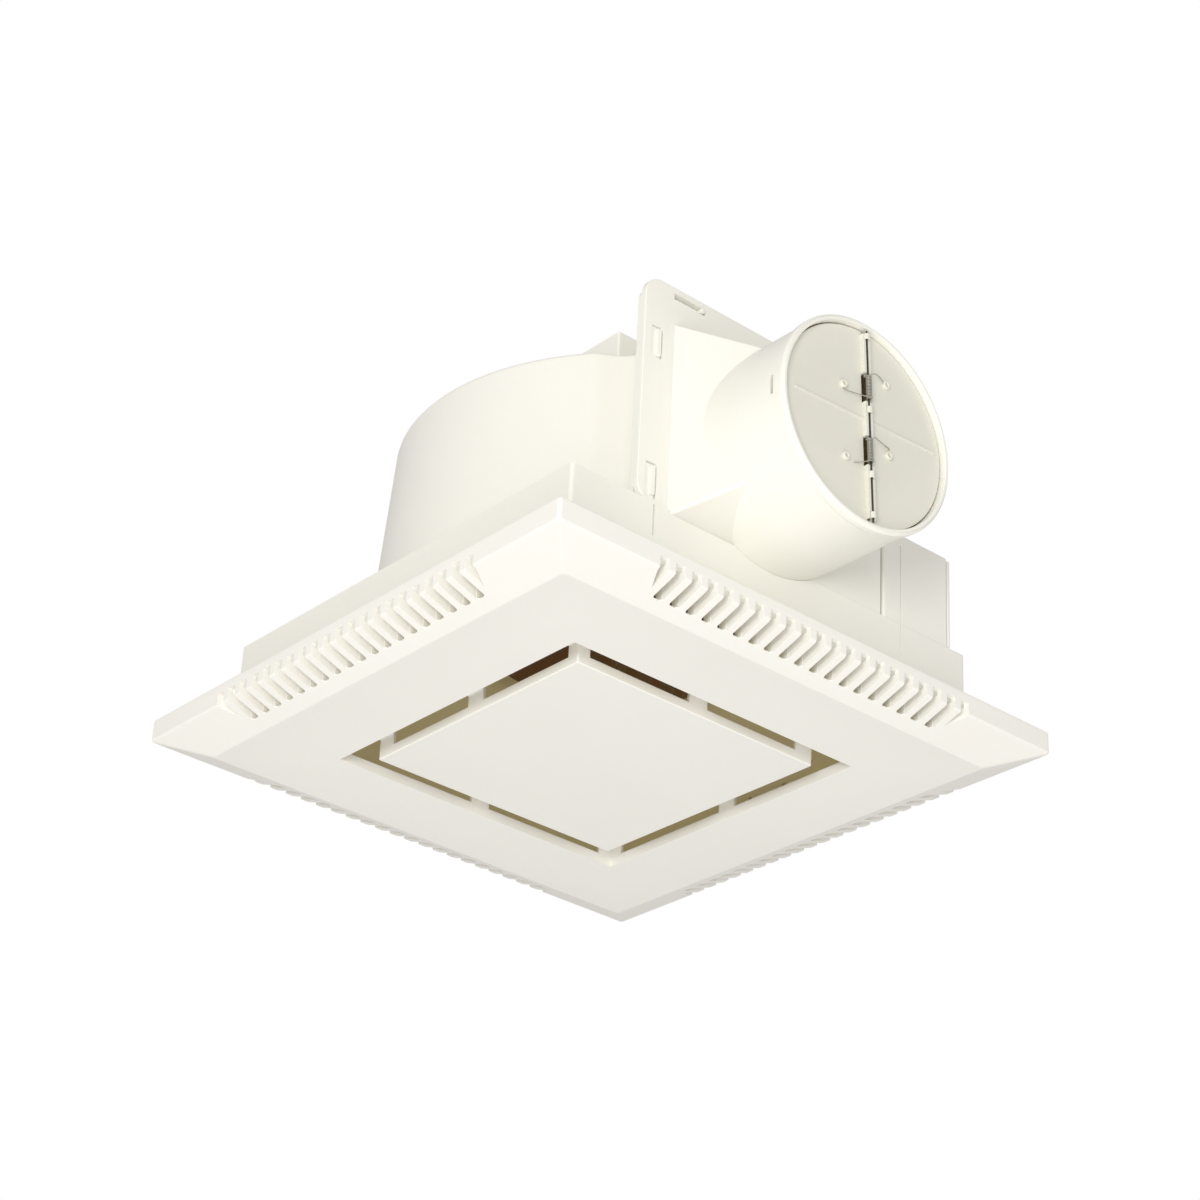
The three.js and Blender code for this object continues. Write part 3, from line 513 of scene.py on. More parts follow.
def make_grille():
    outer = [square(127.6, 0, 1.6), square(128.4, 0.12, 2)]
    outer += [square(149.0, 7.55, 1.6), square(149.6, 7.95, 1.8), square(149.95, 8.6, 1.9), square(150, 9.4, 1.9),
              square(150, 18.2, 1.9), square(149.8, 18.65, 1.8), square(149.4, 18.8, 1.7)]
    o = make("grille_face", loft(outer))
    boolean(o, loft([square(127.2, 2.2, 1.6), square(147.6, 9.6, 1.2), square(147.6, 25, 1.2)]))
    boolean(o, slab(-87, 87, -87, 87, 1, 5, 0.6, 0.3, 3, low=False), "UNION")
    boolean(o, box(-85, 85, -85, 85, -5, 30))
    # tall fins behind the comb of slots
    sec = [(131.5, 2.0), (148.5, 8.2), (148.5, 12), (131.5, 12)]
    for s in range(4):
        b = make("fins", turned(s, loft([[(u, -v, z) for v, z in sec] for u in (-96.5, 96.5)])))
        inner = Geo()
        for k in range(-9, 10):
            u = k * PITCH
            inner.add(turned(s, box(u - SLOT_W / 2, u + SLOT_W / 2, -136, -131, 5.4, 13.7)))
        boolean(b, inner)
        m = o.modifiers.new("b", "BOOLEAN")
        m.operation, m.object, m.solver = "UNION", b, "EXACT"
        bake(o)
        old = b.data
        bpy.data.objects.remove(b)
        bpy.data.meshes.remove(old)
    # comb of slots
    cut = Geo()
    for s in range(4):
        for k in range(-9, 10):
            u = k * PITCH
            h = SLOT_W / 2
            # inner end slightly narrowed, as a moulded slot is
            pts = [(u - h, -152), (u + h, -152), (u + h, -136.2), (u + h * 0.55, -135), (u - h * 0.55, -135), (u - h, -136.2)]
            cut.add(turned(s, loft([[(x, y, -2) for x, y in pts], [(x, y, 13.7) for x, y in pts]])))
        for e in (-1, 1):
            pts = [(e * 89.4, -152), (e * 94.6, -152), (e * 94.0, -148), (e * 89.4, -139.5)]
            cut.add(turned(s, loft([[(x, y, -2) for x, y in pts], [(x, y, 13.7) for x, y in pts]])))
    boolean(o, cut)
    thin = Geo()
    for s in range(4):
        for k in range(-9, 10):
            u, h = k * PITCH, SLOT_W / 2
            sec = [(-131.2, 1.9), (-136.0, 3.55), (-136.0, 9.0), (-131.2, 9.0)]
            thin.add(turned(s, loft([[(x, v, z) for v, z in sec] for x in (u - h, u + h)])))
    boolean(o, thin)
    return o


grille = make_grille()
tidy(grille)
dress(grille, "grille", GRILLE, ["intake_grille"], bevel=0.32, segs=2, angle=14)


def lip_and_plate():
    """The floating centre plate and the arched bridges that carry it from the opening's lip."""
    out = {}
    # centre plate: shallow tray
    lv = [square(71.2, 0, 0.4, 3), square(71.7, 0.12, 0.6, 3), square(72, 0.5, 0.8, 3), square(72, 4.6, 0.8, 3), square(71.7, 5.0, 0.7, 3),
          square(70.3, 5.0, 0.5, 3), square(70, 4.7, 0.4, 3), square(70, 2.8, 0.4, 3), square(69.4, 2.2, 0.3, 3)]
    out["centre_plate"] = Geo([loft(lv)])
    bars = Geo()

    def arch(s, u0, u1):
        # leg on the plate's edge, web, leg on the lip, as one bent strip
        sec = [(70.2, 3.0), (71.9, 3.0), (71.9, 9.9), (72.5, 10.5), (84.5, 10.5), (85.1, 9.9), (85.1, 3.0), (86.9, 3.0), (86.9, 11.6), (86.0, 12.5), (71.1, 12.5), (70.2, 11.6)]
        pts0 = [(u0, -v, z) for v, z in sec]
        pts1 = [(u1, -v, z) for v, z in sec]
        i0 = [(u0 + 0.25, -v, z) for v, z in sec]
        bars.add(turned(s, loft([pts0, pts1])))
    arch(0, -5.5, 5.5); arch(1, -5.5, 5.5); arch(2, -5.5, 5.5); arch(3, -5.5, 5.5)
    arch(0, 61.5, 71.9)       # at the right end of the side facing -Y
    arch(3, -71.9, -61.5)     # at the far end of the side facing -X
    out["bridge_arches"] = bars
    corners = Geo()
    for s in (-1, 1):
        def sq2(a, c, z0, z1):
            return box(a, c, a, c, z0, z1) if s > 0 else box(-c, -a, -c, -a, z0, z1)

        def ell(a0, a1, t, z0, z1):
            p = [(a0, a1), (a0, a1 - t), (a1 - t, a1 - t), (a1 - t, a0), (a1, a0), (a1, a1)]
            p = [(s * x, s * y) for x, y in p]
            return loft([[(x, y, z0) for x, y in p], [(x, y, z1) for x, y in p]])
        corners.add(ell(65, 71.9, 1.8, 3.0, 10.6))
        corners.add(ell(77.5, 86.9, 1.8, 3.0, 10.6))
        corners.add(slab(*( (65, 86.9, 65, 86.9) if s > 0 else (-86.9, -65, -86.9, -65)), 10.5, 12.5, 0.8, 0.3, 3))
    out["bridge_corners"] = corners
    return out


for nm, g in lip_and_plate().items():
    dress(make(nm, g), "grille", GRILLE, bevel=0.25 if nm.startswith("bridge") else 0.0)

# clip bosses and retaining springs
for sgn, nm in ((-1, "left"), (1, "right")):
    x = sgn * 112
    o = make("clip_boss_" + nm, slab(x - 3.5, x + 3.5, -3, 3, 1.6, 9.5, 0.8, 0.4))
    boolean(o, box(x - 1.1, x + 1.1, -6, 6, 4.3, 14))
    dress(o, "grille", GRILLE, bevel=0.15)
    pts = [(x, -28, 53.4), (x, -26.4, 54.4), (x, -24.5, 51), (x, -15, 30.5), (x, -5, 9.5), (x, -2.5, 6.2), (x, 0, 5.4), (x, 2.5, 6.2), (x, 5, 9.5), (x, 15, 30.5), (x, 24.5, 51), (x, 26.4, 54.4), (x, 28, 53.4)]
    dress(make("retaining_spring_" + nm, sweep(smooth_path(pts, 8), 0.8, 12)), "grille", WIRE, ["grille_spring_" + nm], weighted=False)

# ------------------------------------------------------------------ mounting frame
CORNER = 1.8


def make_frame():
    lv = []
    for h, z, r in ((122.5, 17, CORNER), (122.5, 58.88, CORNER), (122.46, 58.97, CORNER), (122.38, 59.0, CORNER - 0.1)):
        lv.append(square(h, z, r, 8))
    o = make("ceiling_box", loft(lv))
    boolean(o, slab(-138, 138, -138, 138, 17, 19, 6, 0.35, 8), "UNION")
    boolean(o, loft([square(120.5, 10, 1, 8), square(120.5, 56.6, 1, 8), square(120.0, 57, 0.8, 8)]))
    for sgn in (-1, 1):
        x0, x1 = sorted((sgn * 104, sgn * 121.5))
        sh = Geo([slab(x0, x1, -35, 35, 22, 24, 0.8, 0.3, 3)])
        boolean(o, sh, "UNION")
        a0, a1 = sorted((sgn * 108, sgn * 116))
        boolean(o, slab(a0, a1, -31, 31, 15, 30, 2.5, 0.2, 4))
        for y in (-34.2, 32.8):
            tri = [(sgn * 104.6, 23.5), (sgn * 121.5, 23.5), (sgn * 121.5, 38)]
            boolean(o, loft([[(x, y, z) for x, z in tri], [(x, y + 1.5, z) for x, z in tri]]), "UNION")
    boolean(o, cyl(79, 50, 65, 128, (AX, AY, 0)))
    notch = [(-69, 61), (-66.3, 57.1), (16.2, 57.1), (19.4, 61)]
    boolean(o, loft([[(x, -125, z) for x, z in notch], [(x, -119.8, z) for x, z in notch]]))
    boolean(o, cyl(52.15, -125, -119.8, 128, (OX, 0, OZ), "Y"))
    boolean(o, box(-75.9, -75.1, -125, -121.5, 42, 57.9))
    boolean(o, box(78.6, 79.2, -125, -122.0, 43, 61))
    holes = Geo()
    for x in (-130.5, 130.5):
        for y in (-130.5, 130.5):
            holes.add(cyl(2.6, 12, 22, 24, (x, y, 0)))
            holes.add(lathe([(0.01, 16.4), (4.8, 16.4), (2.6, 18.2), (0.01, 18.2)], 24, (x, y, 0), loop=False)) if False else None
    boolean(o, holes)
    holes = Geo()
    for i in range(4):
        a = math.radians(45 + 90 * i)
        holes.add(cyl(1.8, 50, 65, 20, (AX + 82.5 * math.cos(a), AY + 82.5 * math.sin(a), 0)))
    boolean(o, holes)
    return o


box_o = make_frame()
tidy(box_o)
box_o.data.materials.clear()
box_o.data.materials.append(CREAM)
box_o.data.materials.append(INNER_SHADE_AND_GLOW)
# painted shade: faces inside the box take the darker inner material
for p in box_o.data.polygons:
    c = p.center / MM
    if abs(c.x) < 120.8 and abs(c.y) < 120.8 and c.z < 57.3:
        p.material_index = 1
dress(box_o, "housing", CREAM, ["mounting_frame"], bevel=0.0)

# ------------------------------------------------------------------ inlet ring
prof = [(64.0, 59.6)]
for i in range(9):
    a = math.pi - i / 8 * math.pi / 2
    prof.append((69.2 + 5.2 * math.cos(a), 59.6 - 5.0 * math.sin(a)))
prof += [(86.1, 54.6), (86.5, 55.0), (86.5, 56.3), (86.1, 56.7), (71.5, 56.7), (68.2, 58.0), (66.4, 60.4), (66, 62.8), (65.6, 63.2), (64.4, 63.2), (64, 62.8)]
ring = make("inlet_bell", lathe(prof, 144, (AX, AY, 0)))
holes = Geo()
for i in range(4):
    a = math.radians(45 + 90 * i)
    holes.add(cyl(1.8, 50, 62, 20, (AX + 82.5 * math.cos(a), AY + 82.5 * math.sin(a), 0)))
boolean(ring, holes)
# the inlet ring sits inside the box, so it takes the painted-shade inner material
dress(ring, "housing", INNER_SHADE_AND_GLOW, ["inlet_ring"])


def screw(name, x, y, z, d, body, node, r=3.1, h=1.9, shank=4.3, axis="Z"):
    """Pan head screw with a cross recess; d is 1 when the head stands above its seat, -1 below."""
    pr = [(0.02, -d * shank), (1.1, -d * shank), (1.45, -d * (shank - 0.6)), (1.45, -0.02 * d)]
    pr += [(r, 0.0), (r, d * h * 0.35)]
    for k in range(1, 6):
        a = k / 6 * math.pi / 2
        pr.append((r * math.cos(a * 0.85) if k < 5 else r * 0.25, d * (h * 0.35 + h * 0.65 * math.sin(a))))
    pr.append((0.02, d * h))
    if axis == "Z":
        o = make(name, lathe(pr, 32, (x, y, z), loop=False))
        for a in ((r * 0.55, 0.38), (0.38, r * 0.55)):
            lo, hi = sorted((z + d * (h - 1.0), z + d * (h + 1)))
            boolean(o, box(x - a[0], x + a[0], y - a[1], y + a[1], lo, hi))
    else:
        o = make(name, lathe(pr, 32, (x, y, z), "X", loop=False))
        for a in ((r * 0.55, 0.38), (0.38, r * 0.55)):
            boolean(o, box(x + h - 1.0, x + h + 1, y - a[0], y + a[0], z - a[1], z + a[1]))
    return dress(o, body, STEEL, [node])


for i in range(4):
    a = math.radians(45 + 90 * i)
    screw("bell_screw_%d" % (i + 1), AX + 82.5 * math.cos(a), AY + 82.5 * math.sin(a), 54.3, -1, "housing", "inlet_screw_%d" % (i + 1))
for i, (x, y) in enumerate([(-58, -74), (-58, 64), (51, -74), (51, 64)]):
    screw("lid_screw_%d" % (i + 1), x, y, 171.3, 1, "housing", "cover_screw_%d" % (i + 1), 3.4, 2.0, 10.8)
for i in range(3):
    a = math.radians(30 + 120 * i)
    screw("shell_screw_%d" % (i + 1), AX + 48.5 * math.cos(a), AY + 48.5 * math.sin(a), 145.2, -1, "housing", "motor_screw_%d" % (i + 1))
screw("side_lid_screw", 113.6, -101, 103.4, 1, "housing", "terminal_lid_screw", 3.0, 1.8, 5.8, axis="X")

# ------------------------------------------------------------------ scroll
def scroll_line():
    p = [(60, -112.9), (60, -100), (60, -88), (60, -80)]
    for i in range(0, 109):
        deg = -50 + 269.7 * i / 108
        R = 112.4 + 0.13 * (deg - 150.9)
        a = math.radians(deg)
        p.append((AX + R * math.cos(a), AY + R * math.sin(a)))
    # the wall turns in to the narrower outlet neck
    neck = [(-84.5, -87.6), (-78.5, -91.6), (-73, -96), (-70.4, -101), (-70, -106), (-70, -112.9)]
    start = p[-1]
    dense = smooth_path([(p[-2][0], p[-2][1], 0), (start[0], start[1], 0)] + [(x, y, 0) for x, y in neck], 5)
    p += [(q.x, q.y) for q in dense if True][6:]
    return p


LINE = scroll_line()


def offset(p, d):
    out = []
    for i, (x, y) in enumerate(p):
        a, b = p[max(0, i - 1)], p[min(len(p) - 1, i + 1)]
        tx, ty = b[0] - a[0], b[1] - a[1]
        l = math.hypot(tx, ty) or 1
        if i in (0, len(p) - 1):
            out.append((x + d * (1 if x > 0 else -1), y))
        else:
            out.append((x + d * ty / l, y - d * tx / l))
    return out


def level(d, z, y_end=None):
    q = offset(LINE, d)
    if y_end is not None:
        q[0] = (q[0][0], y_end)
        q[-1] = (q[-1][0], y_end)
    return [(x, y, z) for x, y in q]


def make_scroll():
    lv = [level(5.5, 59.3)]
    for k in range(1, 9):
        t = k / 8 * (147.6 - 59.3) / (150 - 59.3)
        lv.append(level(5.5 * (1 - t), 59.3 + t * (150 - 59.3)))
    for a in (25, 50, 75, 90):
        s = math.radians(a)
        lv.append(level(0.15 - 2.2 * (1 - math.cos(s)), 147.6 + 2.4 * math.sin(s)))
    o = make("scroll_case", loft(lv))
    boolean(o, slab(-82, 64, 59.3, 174, -115.1, -112.6, 6, 0.4, 6, at=ALONG_Y), "UNION")
    boolean(o, loft([level(3.3, 55, -119), level(3.3 + 0.2, 59.2, -119), level(-2.2, 147.8, -119)]))
    boolean(o, cyl(45, 140, 160, 96, (AX, AY, 0)))
    for x, y in [(-58, -74), (-58, 64), (51, -74), (51, 64)]:
        boolean(o, cyl(4, 148.5, 168.6, 32, (x, y, 0)), "UNION")
        boolean(o, cyl(1.75, 157, 172, 20, (x, y, 0)))
    for i in range(3):
        a = math.radians(30 + 120 * i)
        boolean(o, cyl(1.8, 140, 160, 20, (AX + 48.5 * math.cos(a), AY + 48.5 * math.sin(a), 0)))
    return o


scroll = make_scroll()
scroll.data.materials.clear()
scroll.data.materials.append(CREAM)
dress(scroll, "housing", CREAM, ["scroll_housing"], sharp=30)

# ------------------------------------------------------------------ motor cover
cov = make("motor_lid", slab(-68, 60, -83.5, 73, 150.3, 171, 1.0, 0.4, 4, low=False))
boolean(cov, slab(-66, 58, -81.5, 71, 140, 169, 1, 0.4, 4))
for x, y in [(-58, -74), (-58, 64), (51, -74), (51, 64)]:
    boolean(cov, cyl(1.9, 160, 180, 20, (x, y, 0)))
boolean(cov, cyl(3, 50, 90, 24, (0, -64, 159), "X"))
dress(cov, "housing", CREAM, ["motor_cover"])

# ------------------------------------------------------------------ duct adaptor
def make_adaptor():
    y0, y1 = -120.3, -116.7
    o = make("duct_spigot", slab(-84, 65.4, 59.05, 178, y0, y1, 10, 0.7, 12, at=ALONG_Y))
    # thicker pad beside the spigot, flush with the tray's wall
    boolean(o, slab(20, 65.4, 59.02, 134, -122.5, y1, 0.1, 0.06, 3, at=ALONG_Y), "UNION")

    def rect(t, d, z_lo=0, z_hi=999, x_lo=-999):
        x0, x1, z0, z1 = max(-66 + d + 0.76 * t, x_lo), 48 - d - 0.2 * t, max(57.3 + d + 0.5 * t, z_lo), min(158 - d - 0.5 * t, z_hi)
        p = [(x1, z1), (x0, z1), (x0, z0), (16 - 0.5 * d + 0.2 * t, z0), (x1, 98 + 0.5 * d)]
        out = []
        n = len(p)
        for i, (x, z) in enumerate(p):
            # rounded corner, radius about 1.6 mm
            ax, az = p[i - 1][0] - x, p[i - 1][1] - z
            bx, bz = p[(i + 1) % n][0] - x, p[(i + 1) % n][1] - z
            la, lb = math.hypot(ax, az), math.hypot(bx, bz)
            a, b = (x + 1.4 * ax / la, z + 1.4 * az / la), (x + 1.4 * bx / lb, z + 1.4 * bz / lb)
            for k in range(6):
                q = k / 5
                out.append(((1 - q) ** 2 * a[0] + 2 * q * (1 - q) * x + q * q * b[0], (1 - q) ** 2 * a[1] + 2 * q * (1 - q) * z + q * q * b[1]))
        return [(u, y0 - t, v) for u, v in out]
    boolean(o, loft([rect(0, 0), rect(36, 0)]), "UNION")
    pr = [(52.0, -120.3), (52.0, -178.1), (51.65, -178.3), (51.65, -178.8), (51.8, -178.95), (52.7, -179.15), (52.9, -179.4), (52.9, -181.55), (52.8, -181.8), (51.75, -182.5), (51.65, -182.85), (51.5, -183.0)]
    boolean(o, lathe(pr, 160, (OX, 0, OZ), "Y", loop=False), "UNION")

    def inner(t, d=2.2):
        return rect(t, d, 59.5, 155.8, -63.5)
    boolean(o, loft([inner(-6), inner(0), inner(33)]))
    boolean(o, lathe([(50, -115.7), (50, -182.2), (50.1, -182.7), (50.35, -183.0), (50.6, -183.2), (50.6, -190)], 160, (OX, 0, OZ), "Y", loop=False))
    win = Geo()
    for x0, x1 in ((-67, -48), (33, 52)):
        win.add(slab(x0, x1, 171, 174.6, -125, -110, 0.8, 0.05, 4, at=ALONG_Y))
    win.add(slab(-79.5, -73, 135, 152, -125, -110, 1.6, 0.05, 4, at=ALONG_Y))
    win.add(slab(54.4, 60.4, 137, 152, -125, -110, 1.6, 0.05, 4, at=ALONG_Y))
    win.add(slab(-79.5, -73, 62, 80, -125, -110, 1.0, 0.05, 4, at=ALONG_Y))
    boolean(o, win)
    boolean(o, slab(-176.1, -174.5, 99.5, 109.5, -60, -52, 0.7, 0.05, 4, at=ALONG_X))
    return o


spigot = make_adaptor()
spigot.data.materials.clear()
spigot.data.materials.append(CREAM)
dress(spigot, "housing", CREAM, ["duct_adaptor"], sharp=22)

# snap tongues of the scroll's flange that stand in the windows
tong = Geo()
for x0, x1, z0, z1 in ((-79.25, -73.3, 135.3, 151.7), (-79.25, -73.3, 62.3, 79.7), (54.7, 60.1, 137.3, 151.7)):
    tong.add(slab(x0, x1, z0, z1, -119.5, -112.8, 1.0, 0.4, 5, at=ALONG_Y))
for x0, x1, z0, z1 in ((-76.9, -74.0, 136, 150.6), (57.0, 59.2, 138, 150.6), (-76.9, -74.0, 63.5, 78.6)):
    tong.add(slab(x0, x1, z0, z1, -121.0, -112.8, 1.0, 0.5, 5, at=ALONG_Y))
for x0, x1 in ((-51.2, -48.8), (33.8, 36.2)):
    tong.add(slab(x0, x1, 171.6, 174.0, -121.3, -112.8, 0.7, 0.3, 4, at=ALONG_Y))
dress(make("snap_tongues", tong), "housing", CREAM)

# ------------------------------------------------------------------ backdraft damper
def half_outline(s, r, edge):
    """Part of the disc on one side of the pin; u is measured from the pin, s is -1 for the left flap."""
    c = edge * s + PINX - OX            # straight edge's X from the spigot's axis
    a0 = math.acos(s * c / r)
    n = 56
    return [(OX + s * r * math.cos(a), OZ + r * math.sin(a)) for a in (-a0 + 2 * a0 * i / n for i in range(n + 1))]


def flap(s):
    name = "flap_" + ("left" if s < 0 else "right")
    y0, y1 = -179.9, -178.6
    edge = 0.65
    out = half_outline(s, 49.4, edge)
    ins = half_outline(s, 49.15, edge + 0.2)
    lv = [[(x, y1, z) for x, z in ins], [(x, y1 - 0.25, z) for x, z in out], [(x, y0 + 0.25, z) for x, z in out], [(x, y0, z) for x, z in ins]]
    o = make(name, loft(lv))

    def bx(u0, u1, a, c, d, e):
        x0, x1 = sorted((PINX + s * u0, PINX + s * u1))
        return (x0, x1, a, c, d, e)
    # tall edge rib beside the pin, its front corners cut to the disc
    x0, x1, *_ = bx(edge, 2.1, 0, 0, 0, 0)
    rib = [(z, y) for y, z in ((-178.9, OZ - 47.3), (-181.7, OZ - 47.3), (PIN, OZ - 46.6), (PIN, OZ + 46.6), (-181.7, OZ + 47.3), (-178.9, OZ + 47.3))]
    boolean(o, loft([[(x0, y, z) for z, y in rib], [(x1, y, z) for z, y in rib]]), "UNION")
    x0, x1, *_ = bx(1.5, 44, 0, 0, 0, 0)
    boolean(o, slab(x0, x1, OZ + 2.7, OZ + 3.9, -180.6, -179.3, 0.4, 0.3, 4, at=ALONG_Y), "UNION")
    for z0, z1 in ((83.5, 99.4), (115.9, 132)):
        boolean(o, box(*bx(-1, 2.2, -190, -170, z0 + 0.5, z1 - 0.5)))
    mine, other = [(149, 151.8), (77.6, 80.8)], [(57.4, 60.4), (110.6, 113.8)]
    if s > 0:
        mine, other = other, mine
    for z0, z1 in mine:
        boolean(o, cyl(1.5, z0, z1, 40, (PINX, PIN, 0), rb=0.25), "UNION")
        x0, x1, *_ = bx(0.6, edge + 1.5, 0, 0, 0, 0)
        boolean(o, box(x0, x1, PIN + 0.2, -178.7, z0 + 0.15, z1 - 0.15), "UNION")
    for z0, z1 in other:
        boolean(o, box(*bx(-2.2, 1.75, -190, -170, z0 - 0.2, z1 + 0.2)))
    for z0, z1 in mine:
        boolean(o, cyl(0.78, z0 - 1, z1 + 1, 32, (PINX, PIN, 0)))
    for u, z in ([(14, 121.2), (14, 84.4)] if s < 0 else [(13.35, 131.2), (13.35, 94.7)]):
        cx = PINX + s * u
        boss = [(2.1, -179.4), (2.1, -180.9), (1.85, -181.25), (1.5, -181.4), (1.05, -181.3), (0.85, -180.9), (0.85, -179.4)]
        boolean(o, lathe(boss, 32, (cx, 0, z), "Y"), "UNION")
    return dress(lean(o), name, FLAPM, ["damper_" + name], sharp=30)


flap(-1)
flap(1)
dress(lean(make("hinge_pin", cyl(0.44, OZ - 49.1, OZ + 49.1, 24, (PINX, PIN, 0), rb=0.15))), "housing", DARK, ["damper_pin"])


def coil(x, z0, z1, turns, r=1.15, wire=0.28):
    pts = []
    n = int(turns * 20)
    for i in range(n + 1):
        a = i / n * turns * 2 * math.pi
        pts.append((x + r * math.cos(a), PIN + r * math.sin(a), z0 + (z1 - z0) * i / n))
    return sweep(pts, wire, 8)


for nm, dx, (z0, z1) in (("upper", 0.3, (117.7, 130.3)), ("lower", -0.3, (85.3, 97.7))):
    dress(lean(make("torsion_coil_" + nm, coil(PINX + dx, z0, z1, 16.5))), "housing", COILM, ["damper_spring_" + nm], weighted=False)
legs = {
    "leg_upper_left": ("flap_left", [(PINX + 0.3, PIN - 2.02, 117.9), (PINX - 1.6, PIN - 1.8, 117.9), (PINX - 4, PIN - 0.7, 117.9), (-14, -181.3, 118.0), (-17.0, -180.7, 118.3), (-17.2, -180.3, 118.9)]),
    "leg_upper_right": ("flap_right", [(PINX, PIN - 1.75, 130.1), (PINX + 2.2, PIN - 1.6, 131.2), (PINX + 4.5, PIN - 0.4, 132.7), (5.0, -181.6, 133.0), (7.4, -181.0, 132.0), (8.6, -180.3, 130.9)]),
    "leg_lower_left": ("flap_left", [(PINX + 0.3, PIN - 1.75, 85.5), (PINX - 2.0, PIN - 1.6, 85.1), (PINX - 4, PIN - 0.6, 84.4), (-10.0, -181.2, 83.6), (-11.8, -180.3, 83.2)]),
    "leg_lower_right": ("flap_right", [(PINX, PIN - 2.02, 97.5), (PINX + 2.2, PIN - 1.75, 98.0), (PINX + 4, PIN - 0.6, 98.5), (7.5, -181.2, 98.5), (10.2, -180.7, 98.3), (10.4, -180.3, 97.9)]),
}
for nm, (bd, pts) in legs.items():
    dress(lean(make("spring_" + nm, sweep(smooth_path(pts, 6), 0.24, 10))), bd, COILM, weighted=False)

# ------------------------------------------------------------------ blower wheel
back_plate = make("wheel_back", lathe([(4.3, 97.3), (4.6, 97), (10.6, 97), (11, 97.4), (12.2, 112), (13.5, 118.5), (16.5, 121.4), (20, 122), (76.1, 122), (76.4, 122.3), (76.4, 123.7), (76.1, 124), (4.6, 124), (4.3, 123.7)], 144, (AX, AY, 0)))
dress(back_plate, "wheel", WHEEL, ["wheel_backplate"])


def make_blades():
    g = Geo()
    g.add(lathe([(70.5, 64.4), (70.9, 64), (76, 64), (76.4, 64.4), (76.4, 66.6), (76, 67), (70.9, 67), (70.5, 66.6)], 144, (AX, AY, 0)))
    n = 36
    for i in range(n):
        a0 = i / n * 2 * math.pi
        lo, hi = [], []
        for k in range(9):
            t = k / 8
            r = 62.6 + 13.0 * t
            a = a0 + 0.115 * t * t - 0.036 * t
            w = 0.65 - 0.25 * abs(2 * t - 1) ** 3
            lo.append((AX + r * math.cos(a) - w * math.sin(a), AY + r * math.sin(a) + w * math.cos(a)))
            hi.append((AX + r * math.cos(a) + w * math.sin(a), AY + r * math.sin(a) - w * math.cos(a)))
        out = lo + hi[::-1]
        g.add(loft([[(x, y, 65.2) for x, y in out], [(x, y, 121.7) for x, y in out]]))
    return make("wheel_crown", g, merge=1e-9)


dress(make_blades(), "wheel", WHEEL, ["wheel_blades"], weighted=True, sharp=40)

# ------------------------------------------------------------------ terminal box
tb = make("terminal_case", slab(67.4, 111.2, -122.5, -80, 59.02, 107, 1.5, 0.3, 5, low=False))
boolean(tb, box(69.4, 115, -120.5, -82, 50, 105))
boolean(tb, box(78.6, 79.2, -125, -122.0, 50, 101))
boolean(tb, cyl(7.1, -90, -75, 40, (94, 0, 84), "Y"))
boolean(tb, cyl(3, -90, -75, 24, (82, 0, 98), "Y"))
dress(tb, "housing", CREAM, ["terminal_box"])
tl = make("terminal_side_lid", slab(-122.1, -80.3, 59.7, 106.7, 111.5, 113.3, 1.0, 0.5, 4, at=ALONG_X))
boolean(tl, cyl(1.8, 105, 120, 20, (0, -101, 103.4), "X"))
dress(tl, "housing", CREAM, ["terminal_lid"])

# ------------------------------------------------------------------ CAD pieces that keep their shape
KEEP = {
    "adaptor_gasket": FOAM, "damper_seal": SEALM, "motor_shell_lower": SHELLM, "motor_shell_upper": SHELLM,
    "stator_core": LAMIN, "motor_rotor": LAMIN, "winding_lower": COPPER, "winding_upper": COPPER, "bearing_lower": GROUND, "bearing_upper": GROUND,
    "motor_shaft": GROUND, "wheel_washer": STEEL, "wheel_nut": STEEL, "terminal_block": POLY, "run_capacitor": CASE, "cable_gland": NYLON,
    "gland_nut": NYLON, "motor_lead": SHEATH,
}
for name, mat in KEEP.items():
    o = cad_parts[name]
    if o.material_slots:
        for s in o.material_slots:
            s.material = mat
    else:
        o.data.materials.append(mat)
    if name in ("run_capacitor", "terminal_block", "wheel_nut", "gland_nut", "cable_gland", "motor_shell_lower", "motor_shell_upper"):
        m = o.modifiers.new("edge", "BEVEL")
        m.width, m.segments, m.limit_method, m.angle_limit = 0.35 * MM, 2, "ANGLE", math.radians(40)
        w = o.modifiers.new("shade", "WEIGHTED_NORMAL")
        w.keep_sharp = True

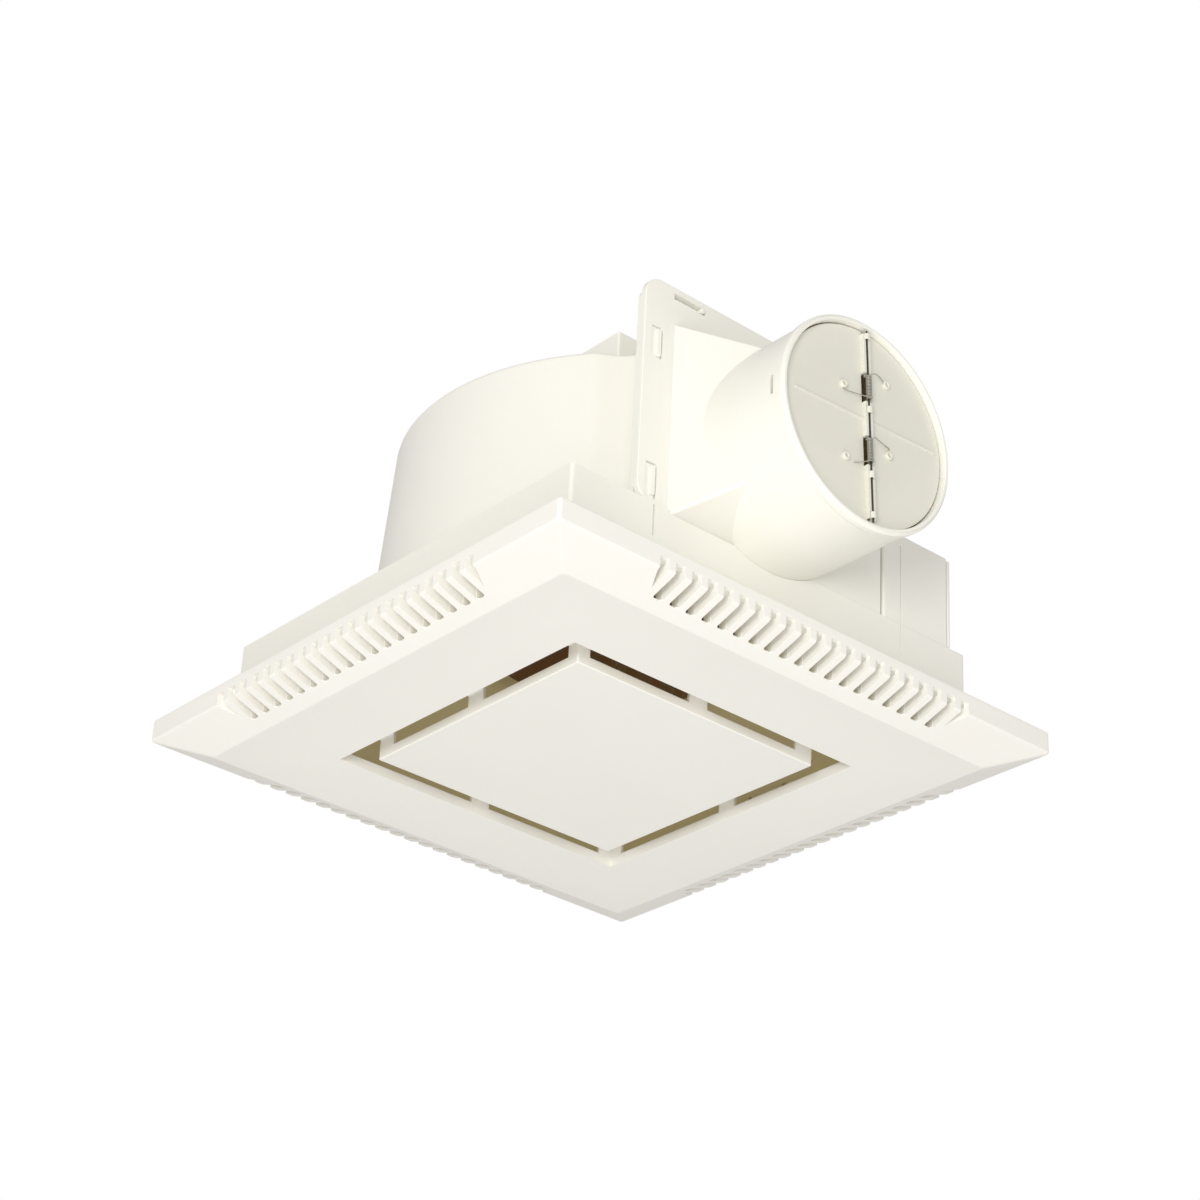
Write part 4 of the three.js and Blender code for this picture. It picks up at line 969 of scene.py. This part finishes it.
# ------------------------------------------------------------------ stage and light
floor = make("floor", slab(-6000, 6000, -6000, 6000, -1320, -1300, 10, 2, 3))
N = Nodes("floor_paint")
nz = N.n("ShaderNodeTexNoise", i_Scale=2.0, i_Detail=3.0)
N.link(coords(N), nz.inputs["Vector"])
cr = ramp(N, nz.outputs["Fac"], [(0.3, (0.90, 0.90, 0.89)), (0.7, (0.93, 0.93, 0.92))])
N.link(cr.outputs[0], N.p.inputs["Base Color"])
N.set(Roughness=0.8)
floor.data.materials.append(N.m)

world = bpy.data.worlds.new("studio")
scene.world = world
world.use_nodes = True
wt = world.node_tree
wt.nodes.clear()
wo = wt.nodes.new("ShaderNodeOutputWorld")
mixw = wt.nodes.new("ShaderNodeMixShader")
lp = wt.nodes.new("ShaderNodeLightPath")
b_light = wt.nodes.new("ShaderNodeBackground")
b_seen = wt.nodes.new("ShaderNodeBackground")
b_light.inputs[0].default_value = (1.0, 0.99, 0.97, 1)
b_light.inputs[1].default_value = 0.59
b_seen.inputs[0].default_value = (1, 1, 1, 1)
b_seen.inputs[1].default_value = 1.0
wt.links.new(lp.outputs["Is Camera Ray"], mixw.inputs[0])
wt.links.new(b_light.outputs[0], mixw.inputs[1])
wt.links.new(b_seen.outputs[0], mixw.inputs[2])
wt.links.new(mixw.outputs[0], wo.inputs[0])


def area(name, loc, target, size, power, color=(1, 1, 1)):
    d = bpy.data.lights.new(name, "AREA")
    d.shape, d.size, d.energy, d.color = "SQUARE", size, power, color
    o = bpy.data.objects.new(name, d)
    scene.collection.objects.link(o)
    o.location = loc
    o.rotation_euler = (Vector(target) - Vector(loc)).to_track_quat("-Z", "Y").to_euler()
    return o


area("key_front", (-1.47, -1.19, -0.46), (0, -0.03, 0.10), 0.6, 16.5, (1.0, 0.99, 0.96))
area("fill_below", (-0.3, -0.5, -1.15), (0, 0, 0.0), 1.8, 9.0, (1.0, 0.965, 0.975))

scene.view_settings.view_transform = "Standard"
scene.view_settings.look = "None"
scene.view_settings.exposure = 0.0
scene.view_settings.gamma = 1.0
